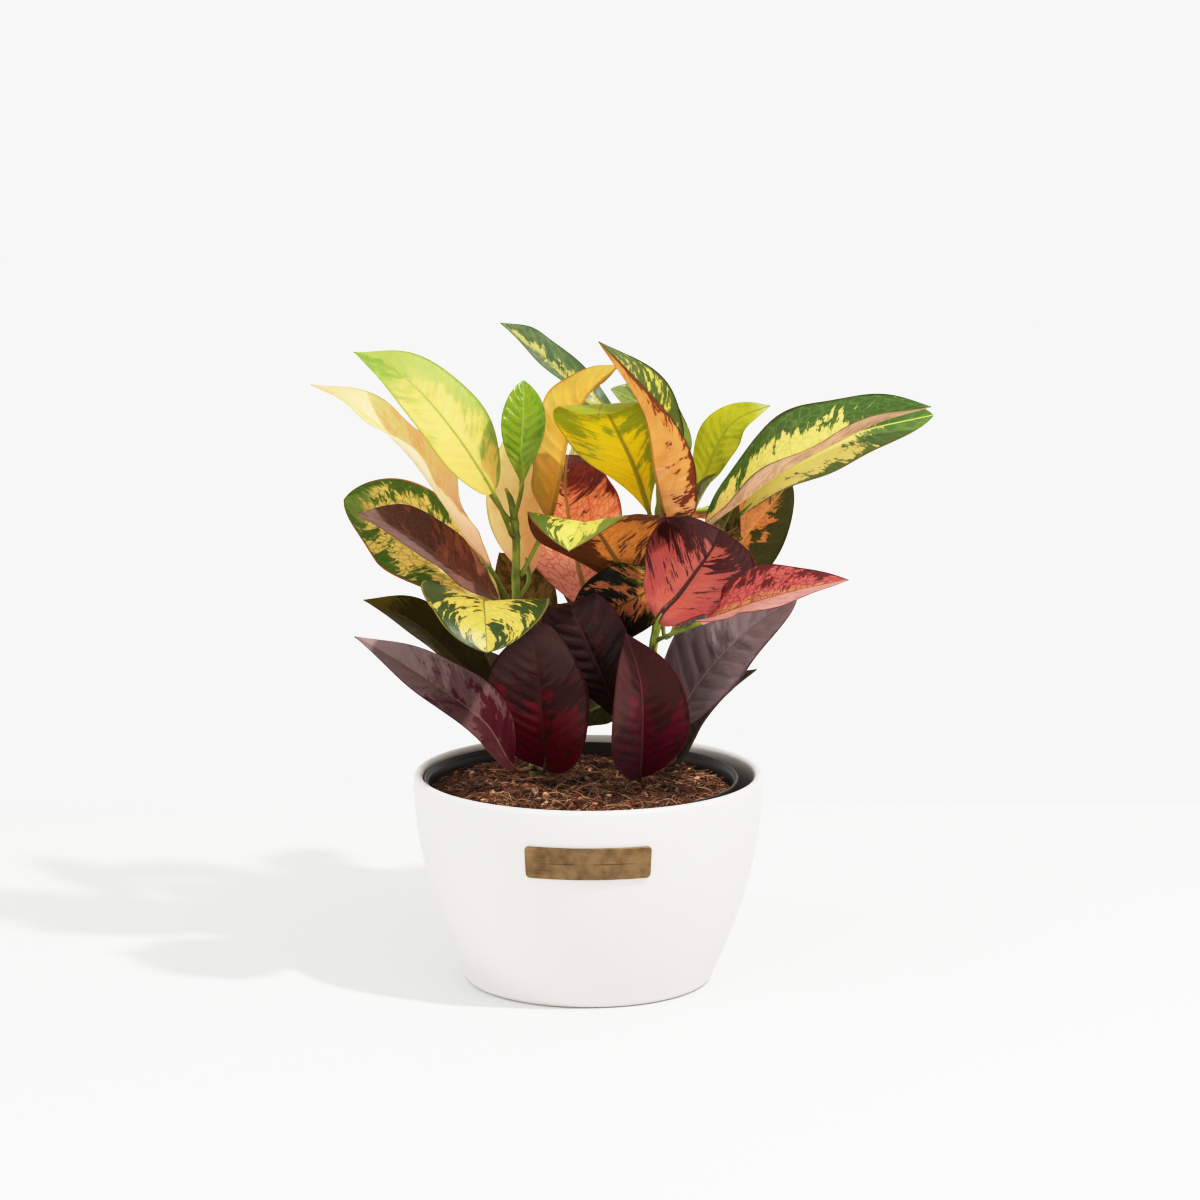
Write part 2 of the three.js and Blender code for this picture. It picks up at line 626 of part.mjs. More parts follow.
function add(name, geometry, material, parent = group) {
  const mesh = new THREE.Mesh(geometry, material);
  mesh.name = name;
  parent.add(mesh);
  return mesh;
}

add("pot", potGeometry(), surface(COLOURS.pot, 0.55)).rotation.x = Math.PI / 2;
add("plaque", plaqueGeometry(), surface(COLOURS.brass, 0.4, 1));

const filling = new THREE.Group();
filling.position.x = LINER_SHIFT;
group.add(filling);
add("liner", linerGeometry(), surface(COLOURS.liner, 0.35), filling).rotation.x = Math.PI / 2;

// Plain holes in the soil for the stems, a little wider than they are
let soil = solidOf(soilGeometry().translate(LINER_SHIFT, 0, 0));
for (const stem of Object.keys(STEMS)) {
  const hole = stemGeometry(stem, GAP, 0, 2).translate(0, 0, -GAP);
  soil = soil.subtract(solidOf(hole));
}
add("soil", geometryOfSolid(soil), surface(COLOURS.soil, 0.95));

for (const stem of Object.keys(STEMS)) {
  add("stem_" + stem, stemGeometry(stem, 0, 0, STEMS[stem].path.length - 1), surface(COLOURS.stem, 0.6));
}

for (const leaf of LEAVES) {
  add(leaf.name, leafGeometry(leaf), surface(COLOURS.leaf, 0.4));
}

export default group;
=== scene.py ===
"""A small potted croton: fine leaves, pot, plate, liner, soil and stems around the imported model.

Lengths in the tables are millimetres in the part's frame, and MM turns them into metres.
"""

import math

import bpy
import numpy as np
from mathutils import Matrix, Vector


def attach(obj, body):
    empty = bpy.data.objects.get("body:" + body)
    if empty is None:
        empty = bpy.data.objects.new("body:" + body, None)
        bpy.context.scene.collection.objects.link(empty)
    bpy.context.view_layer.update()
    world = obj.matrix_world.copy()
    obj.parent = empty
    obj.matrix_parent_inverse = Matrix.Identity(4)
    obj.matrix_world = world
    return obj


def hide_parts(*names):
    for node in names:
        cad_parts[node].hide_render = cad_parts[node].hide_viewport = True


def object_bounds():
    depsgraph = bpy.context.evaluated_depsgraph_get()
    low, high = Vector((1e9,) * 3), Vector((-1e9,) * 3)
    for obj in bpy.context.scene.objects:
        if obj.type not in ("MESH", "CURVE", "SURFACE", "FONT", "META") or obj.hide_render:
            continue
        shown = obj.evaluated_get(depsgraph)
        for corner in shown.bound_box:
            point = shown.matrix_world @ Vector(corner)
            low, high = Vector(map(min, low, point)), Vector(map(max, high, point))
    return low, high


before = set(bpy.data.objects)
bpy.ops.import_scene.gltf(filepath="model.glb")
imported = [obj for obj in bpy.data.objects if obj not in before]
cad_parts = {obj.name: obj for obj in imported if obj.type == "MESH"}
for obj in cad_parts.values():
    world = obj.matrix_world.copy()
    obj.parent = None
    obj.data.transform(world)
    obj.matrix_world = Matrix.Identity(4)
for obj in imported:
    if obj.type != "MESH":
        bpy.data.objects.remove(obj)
cad_low, cad_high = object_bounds()

MM = 0.001
GAP = 0.3

# The bowl
POT_HEIGHT = 102.5
RIM_RADIUS = 85
FOOT_RADIUS = 59
WALL_POWER = 1.9
RIM_STRAIGHT = 2.5
WALL = 4.4
FLOOR = 6
FOOT_FILLET = 4
FOOT_RECESS = 0.6
FOOT_RING = 12
ROUND_STEPS = 160

# The nursery liner, a little to the left in the bowl
LINER_TOP_RADIUS = 76.5
LINER_BASE_RADIUS = 50
LINER_HEIGHT = 94
LINER_WALL = 0.9
LINER_FLOOR = LINER_WALL + 0.2
LINER_SHIFT = -3.6

# The soil
SOIL_RADIUS = 74.2
SOIL_EDGE_HEIGHT = 92
SOIL_MOUND = 6
SOIL_RELIEF = 1.1
SOIL_RINGS, SOIL_STEPS = 64, 200
FIBRE_REACH = 0.985
CHIP_REACH = 0.95
CHIP_RINGS, CHIP_STEPS = 4, 8

# The bare plate
PLAQUE_LENGTH = 60
PLAQUE_HEIGHT = 15.6
PLAQUE_CENTRE_HEIGHT = 77
PLAQUE_THICKNESS = 1.1
PLAQUE_CORNER = 2
PLAQUE_SPLITS = 24

# The film's tones and what it shows of them: darks a little darker, white rolled off
FILM = ((0.05, 0.045), (0.15, 0.19), (0.3, 0.46), (0.45, 0.69), (0.6, 0.82), (0.8, 0.92), (1.0, 0.965))
MOST_PAINT = 0.92

# Leaves
PETIOLE_RADIUS = 1.1
PETIOLE_SINK = 0.45
PETIOLE_STEPS, PETIOLE_SIDES = 25, 12
TIP_HALF_WIDTH = 0.25
LEAF_THICKNESS = 0.45
RIB_HALF_WIDTH = 0.85
GROOVE_DEPTH = 0.35
ROWS_ALONG = 96
COLUMNS_A_SIDE = 14
VEIN_START, VEIN_STEP = 40, 17
CURVE_STEPS = 40

# Stems, with the scars that leaves left
STEM_STEPS, STEM_SIDES = 90, 20
SCAR_HEIGHT, SCAR_LENGTH = 0.35, 1.1

# Stems: the points of the axis and the radius at each
STEMS = {
    "left": ([(-24, 12, 70), (-26, 12, 98), (-31, 12, 140), (-35, 12, 185), (-35, 12, 215), (-37, 12, 232),
        (-40, 12, 240)], (2.6, 2.5, 2.2, 2, 1.9, 1.7, 0.7)),
    "right": ([(21, 6, 70), (22, 6, 92), (28, 8, 131), (32, 10, 166), (39, 12, 200), (43, 14, 222), (44, 15, 231)],
        (2.6, 2.5, 2.3, 2.1, 2, 1.6, 0.7)),
    "back": ([(-22, 47, 70), (-14, 46, 102), (0, 43, 134), (21, 40, 180), (34, 36, 220), (33, 32, 254),
        (32, 31, 262)], (2.6, 2.5, 2.3, 2.1, 1.9, 1.6, 0.7)),
}

# Leaves: the stem, the height of the root on it, the width, the paints of the upper side and the underside, and the
# spine from the blade's base to its tip. Then the way that the upper side looks at the base and at the tip, and
# how far the left and the right half rise from flat, in degrees. peak is where the blade is widest, blunt rounds
# its base and tip, wave is height, count and start, veins counts the pairs of side veins, and quilt is the swelling
# between them.
LEAF_SHAPE = {"peak": 0.5, "blunt": (0.75, 0.95), "wave": (1.2, 2, 0.3), "veins": 12, "quilt": 0.25}
LEAF_KEYS = ("stem", "root", "width", "over", "under", "spine", "face", "fold")


def leaf(*values, **shape):
    return {**LEAF_SHAPE, **dict(zip(LEAF_KEYS, values)), **shape}


LEAVES = {
    "low_front_left": leaf("left", 102, 54, "maroon", "wine_under", [(-21, -3, 105), (-22, -16, 128), (-24, -18, 156),
        (-26, -19, 172), (-28, -17, 176)], [(-0.25, -1, 0.05), (-0.15, -0.5, 0.9)], (12, 18), peak=0.53,
        blunt=(0.45, 0.5), quilt=0.6),
    "low_front_right": leaf("right", 101, 46, "wine", "wine_under", [(25, -6, 101), (26, -20, 128), (25, -26, 152),
        (18, -20, 175)], [(0.35, -0.93, 0.1), (0.3, -0.85, 0.4)], (25, 25), peak=0.45, quilt=0.5),
    "low_pleated": leaf("right", 117, 41, "night", "wine_under", [(15, -3, 129), (8, -11, 149), (-2, -14, 172),
        (-8, -9, 185), (-7, 2, 186)], [(-0.3, -0.9, 0.4), (-0.25, -0.5, 0.8)], (5, 12), peak=0.6, blunt=(0.75, 0.6),
        veins=11, quilt=0.75),
    "low_right": leaf("right", 112, 50, "mauve", "wine_under", [(41, -2, 126), (54, -4, 148), (73, -10, 171),
        (100, -20, 193)], [(-0.25, -0.9, 0.35), (-0.25, -0.8, 0.5)], (12, 34), blunt=(0.6, 0.5), wave=(0.5, 2, 0.3),
        veins=10, quilt=0.7),
    "low_right_back": leaf("right", 105, 32, "brown_under", "brown_under", [(43, 6, 106), (56, 10, 126),
        (68, 14, 139), (82, 16, 150)], [(-0.5, 0.5, 0.7)] * 2, (20, 20), quilt=0.3),
    "low_left": leaf("left", 102, 34, "plum", "wine_under", [(-36, -16, 108), (-49, -27, 132), (-68, -35, 149),
        (-89, -39, 164), (-111, -38, 177)], [(0.5, -0.6, 0.6), (0.5, -0.55, 0.65)], (14, 20), peak=0.44, quilt=0.3),
    "left_dark": leaf("left", 135, 32, "olive_black", "wine_under", [(-41, 10, 136), (-62, 12, 153), (-84, 12, 173),
        (-109, 8, 186)], [(0.5, -0.5, 0.7), (0.45, -0.5, 0.7)], (22, 22)),
    "low_centre": leaf("right", 116, 30, "olive", "olive_under", [(26, 18, 134), (12, 22, 132), (0, 24, 127),
        (-13, 24, 118)], [(0, 0.8, 0.5)] * 2, (15, 15)),
    "left_maroon": leaf("left", 174, 36, "maroon_veined", "wine_under", [(-43, 2, 186), (-66, -6, 205),
        (-82, -14, 219), (-96, -22, 228), (-110, -28, 234)], [(0.45, -0.5, 0.74)] * 2, (20, 20), veins=14),
    "left_broad": leaf("left", 178, 49, "broad_gold", "gold_under", [(-42, 14, 182), (-67, 18, 203), (-94, 18, 221),
        (-118, 8, 235)], [(0.1, -0.85, 0.5)] * 2, (10, 10), peak=0.58, blunt=(0.72, 0.6), wave=(1.5, 2, 0.3),
        veins=13, quilt=0.3),
    "front_arched": leaf("left", 165, 62, "yellow_splash", "red_under", [(-41, -7, 168), (-45, -27, 184),
        (-49, -49, 196), (-48, -70, 190), (-47, -82, 178)], [(0, 0.5, 0.85), (0.1, -0.75, 0.65)], (8, 14), peak=0.62,
        blunt=(0.6, 0.6), veins=13, quilt=0.3),
    "centre_dark": leaf("left", 160, 30, "olive_brown", "brown_under", [(-19, 32, 167), (-29, 37, 182),
        (-44, 43, 203)], [(0, -1, 0.2)] * 2, (12, 12)),
    "centre_net": leaf("right", 195, 40, "net", "olive_under", [(39, 6, 198), (26, 1, 190), (9, 2, 181),
        (-9, 5, 171)], [(-0.3, -0.8, 0.5), (-0.2, -0.9, 0.4)], (12, 12), peak=0.48, blunt=(0.65, 0.65), quilt=0.3),
    "right_red": leaf("right", 150, 64, "red_blotch", "red_under", [(33, -37, 184), (43, -34, 196), (52, -32, 208),
        (59, -31, 218), (63, -31, 227)], [(-0.3, -0.8, 0.5), (-0.35, -0.65, 0.65)], (8, 4), peak=0.72,
        blunt=(0.32, 0.3), veins=14, quilt=0.2),
    "right_pink": leaf("right", 166, 38, "coral_net", "pink_under", [(54, -53, 187), (74, -64, 197), (96, -66, 204),
        (122, -63, 209)], [(0, -0.45, 0.9), (0, -0.5, 0.85)], (16, 26), peak=0.42, veins=13),
    "right_orange": leaf("right", 173, 38, "orange_green", "orange_under", [(39, 12, 167), (56, 17, 188),
        (79, 22, 218), (98, 20, 242)], [(0, -1, 0.2), (0, -1, 0.3)], (12, 12), peak=0.6, blunt=(0.75, 0.65), veins=13,
        quilt=0.3),
    "right_dark_tip": leaf("right", 197, 22, "brown_tip", "olive_under", [(48, 10, 190), (56, 9, 206), (65, 7, 221),
        (72, 7, 236)], [(0, -1, 0.2)] * 2, (20, 20), quilt=0.2),
    "centre_coral": leaf("back", 168, 53, "coral_top", "pink_under", [(2, 36, 175), (-6, 34, 202), (-11, 37, 231),
        (-11, 42, 246), (-10, 52, 250)], [(0, -1, 0.2), (0, -0.6, 0.9)], (10, 10), peak=0.58, blunt=(0.7, 0.6),
        veins=13),
    "centre_arched": leaf("back", 220, 68, "band", "amber_under", [(26, 28, 189), (14, 10, 205), (5, -16, 223),
        (-3, -36, 231), (-9, -54, 221)], [(0.1, 0.8, 0.6), (-0.1, -0.75, 0.65)], (22, -4), peak=0.62, quilt=0.3),
    "top_yellow": leaf("right", 197, 56, "leaf_gold", "leaf_gold", [(31, 14, 222), (22, 2, 252), (12, -8, 275),
        (7, -24, 286), (5, -36, 283)], [(0, 0.95, 0.2), (0, -0.35, 0.95)], (8, -8), peak=0.68, blunt=(0.95, 0.55),
        veins=14),
    "top_folded": leaf("right", 211, 54, "streaked", "peach_under", [(37, -4, 228), (32, -22, 254), (26, -32, 285),
        (5, -30, 317)], [(0.97, 0.1, 0.2), (0.62, -0.4, 0.7)], (42, 36), peak=0.38, veins=13),
    "top_narrow": leaf("left", 197, 36, "gold_green", "orange_gold", [(-19, 15, 225), (-14, 11, 245), (-9, 11, 268),
        (0, 13, 286), (15, 13, 300)], [(-0.95, 0.15, 0.2), (-0.3, 0.9, 0.3)], (45, 45), blunt=(0.5, 0.9),
        wave=(1.5, 4, 0.2), veins=14, quilt=0.3),
    "centre_cream": leaf("back", 157, 30, "cream_fleck", "cream", [(2, 48, 178), (0, 50, 208), (-3, 54, 232),
        (-7, 54, 257)], [(0, -1, 0.2)] * 2, (12, 12), quilt=0.2),
    "left_cream": leaf("left", 186, 30, "cream", "cream", [(-29, 20, 196), (-35, 25, 226), (-32, 28, 255),
        (-23, 30, 280)], [(0, -1, 0.2)] * 2, (10, 10), peak=0.45, quilt=0.2),
    "left_long": leaf("left", 181, 38, "yellow_pink", "cream_pink", [(-48, -4, 205), (-59, -10, 221), (-69, -15, 238),
        (-87, -17, 263), (-112, -14, 284), (-132, -12, 294)], [(0.74, -0.1, 0.65), (0.5, -0.6, 0.6)], (35, 17),
        peak=0.45, wave=(3.2, 2.6, 0.8), veins=14),
    "left_yellow": leaf("left", 217, 40, "bright_yellow", "gold_under", [(-46, 0, 240), (-65, -6, 271),
        (-87, -7, 296), (-112, 0, 308)], [(0.5, -0.73, 0.44), (0.45, -0.75, 0.45)], (14, 14), peak=0.42,
        blunt=(0.65, 1), veins=14, quilt=0.3),
    "young_green": leaf("left", 226, 22, "young_green", "olive_under", [(-32, -2, 243), (-32, -5, 261),
        (-31, -4, 280), (-31, 2, 294)], [(0.1, -0.95, 0.2)] * 2, (14, 14), peak=0.6, blunt=(0.9, 0.75), veins=11,
        quilt=0.6),
    "young_lime": leaf("right", 223, 23, "lime", "olive_under", [(54, 22, 239), (62, 24, 258), (71, 24, 271),
        (88, 22, 279)], [(-0.3, -0.8, 0.4), (-0.3, -0.7, 0.5)], (12, 12), peak=0.45),
    "top_green": leaf("back", 228, 24, "fresh_green", "olive_under", [(48, 40, 252), (37, 38, 267), (25, 34, 278),
        (11, 30, 286)], [(0.2, -0.8, 0.6)] * 2, (12, 12), blunt=(0.75, 0.75), wave=(1, 2, 0.3)),
    "top_back": leaf("back", 253, 27, "green_band", "pale_under", [(16, 29, 268), (1, 42, 278), (-16, 35, 296),
        (-42, 8, 321)], [(0.6, -0.5, 0.63), (0.63, -0.45, 0.63)], (15, 15), veins=13),
    "young_sliver": leaf("right", 215, 13, "olive", "olive_under", [(47, 10, 222), (51, 12, 230), (56, 13, 239),
        (62, 14, 247)], [(-0.8, -0.3, 0.4)] * 2, (50, 50), veins=10, quilt=0.2),
    "right_long": leaf("right", 212, 46, "green_gold", "blush_under", [(56, -2, 224), (73, -6, 237), (91, -10, 251),
        (115, -14, 265), (139, -16, 277), (163, -16, 284)], [(-0.48, -0.39, 0.78), (-0.4, -0.45, 0.8)], (48, 46),
        wave=(2, 2.2, 0.2), veins=15),
    "right_under": leaf("right", 210, 36, "gold_green_tip", "gold_under", [(71, 14, 225), (88, 12, 242),
        (108, 8, 256), (131, 2, 269), (165, -4, 278)], [(-0.3, -0.7, 0.65)] * 2, (14, 14), peak=0.6, blunt=(0.8, 0.7),
        veins=15),
    "back_low_centre": leaf("back", 121, 38, "maroon", "wine_under", [(-2, 58, 126), (6, 84, 135), (8, 104, 141),
        (10, 120, 144)], [(0, -0.3, 1), (0, 0.1, 1)], (16, 16), quilt=0.3),
    "back_low_left": leaf("back", 109, 38, "olive_black", "wine_under", [(-22, 60, 115), (-40, 78, 127),
        (-55, 92, 135), (-70, 104, 146)], [(0.3, -0.2, 1), (0.1, 0, 1)], (16, 16), quilt=0.3),
    "back_low_right": leaf("back", 144, 36, "plum", "wine_under", [(25, 52, 137), (46, 72, 133), (64, 92, 133),
        (78, 112, 137)], [(-0.3, -0.2, 1), (-0.1, 0, 1)], (16, 16), quilt=0.3),
    "back_middle_left": leaf("back", 177, 42, "net", "red_under", [(15, 56, 187), (3, 72, 194), (-9, 90, 198),
        (-21, 106, 201)], [(0.3, -0.4, 1), (0.1, 0, 1)], (16, 16), quilt=0.3),
    "back_middle_right": leaf("back", 210, 42, "red_blotch", "red_under", [(42, 50, 205), (55, 70, 199),
        (70, 92, 196), (83, 110, 193)], [(-0.3, -0.4, 1), (-0.1, 0, 1)], (16, 16), veins=13),
    "back_upper_left": leaf("left", 224, 30, "yellow_splash", "gold_under", [(-52, 9, 245), (-62, 34, 257),
        (-73, 54, 269), (-86, 72, 279)], [(0.5, -0.4, 0.8), (0.4, -0.3, 0.9)], (16, 16), veins=13, quilt=0.3),
    "back_upper_right": leaf("back", 225, 26, "green_gold", "gold_under", [(62, 46, 225), (83, 62, 235),
        (104, 78, 245), (125, 90, 254)], [(-0.3, -0.3, 0.9), (-0.2, -0.1, 1)], (16, 16), veins=13),
    "back_top": leaf("back", 251, 40, "gold_green", "gold_under", [(29, 44, 254), (23, 62, 256), (17, 84, 255),
        (12, 104, 249)], [(0.1, -0.4, 0.9), (0, 0.1, 1)], (16, 16), veins=13, quilt=0.3),
    "back_inner_left": leaf("back", 142, 36, "night", "wine_under", [(-10, 58, 150), (-26, 74, 156), (-42, 88, 160),
        (-56, 100, 162)], [(0.3, -0.3, 1), (0.1, 0, 1)], (16, 16), quilt=0.3),
    "back_centre": leaf("back", 158, 38, "coral_net", "pink_under", [(4, 60, 162), (5, 78, 169), (3, 96, 172),
        (1, 112, 171)], [(0, -0.3, 1), (0, 0.1, 1)], (16, 16)),
    "back_upper_centre": leaf("back", 226, 36, "orange_green", "orange_under", [(38, 52, 218), (48, 68, 217),
        (60, 84, 213), (70, 100, 206)], [(-0.3, -0.3, 1), (-0.1, 0, 1)], (16, 16), veins=13),
    "back_side_right": leaf("right", 122, 34, "maroon_veined", "wine_under", [(50, 30, 144), (64, 46, 152),
        (78, 60, 158), (92, 72, 160)], [(-0.3, -0.3, 1), (-0.1, 0, 1)], (16, 16), quilt=0.3),
}

# Paints of the leaves, in the colours that they show. field is the ground colour, core lies along the midrib, edge
# along the margin and hem on its last line, foot at the base and tip at the point; their numbers say how far each one
# reaches. blotch is a ragged second colour, and its number says how much of it. margin draws it to the margin, or to
# the midrib below 0, point to the point or the base, and lean to the right or the left half. wing tints the right
# half, or the left one below 0: a second tone of the leaf's own on some paints, and on the dark red and coral paints
# a painted sheen where the light glares on that half. vein colours the side veins and the net between them. specks
# are dots in the colour of the hem, soft blurs the borders, and lit is how much light falls on the leaf.
COLOUR_INPUTS = ("field", "core", "edge", "hem", "foot", "tip", "blotch", "vein", "rib", "wing")
NUMBER_INPUTS = {
    "core": 0, "edge": 0, "hem": 0.03, "foot": 0, "tip": 0, "blotch": 0, "margin": 0, "point": 0, "lean": 0,
    "soft": 1, "wing": 0, "vein": 0.25, "net": 0, "rib": 1, "specks": 0.25,
}
SHADER_LEVELS = {"gloss": 0.38, "specular": 0.5, "glow": 0.35, "lit": 0.8}


def look(codes, **levels):
    """A paint's colour codes, without the wing's where no half takes a second tone or painted sheen, and its numbers,
    given where unusual.
    """
    return codes.split(), {**NUMBER_INPUTS, **SHADER_LEVELS, **levels}


def underside(codes, **levels):
    return look(codes, **{"vein": 0.5, "rib": 1.6, "gloss": 0.5, **levels})


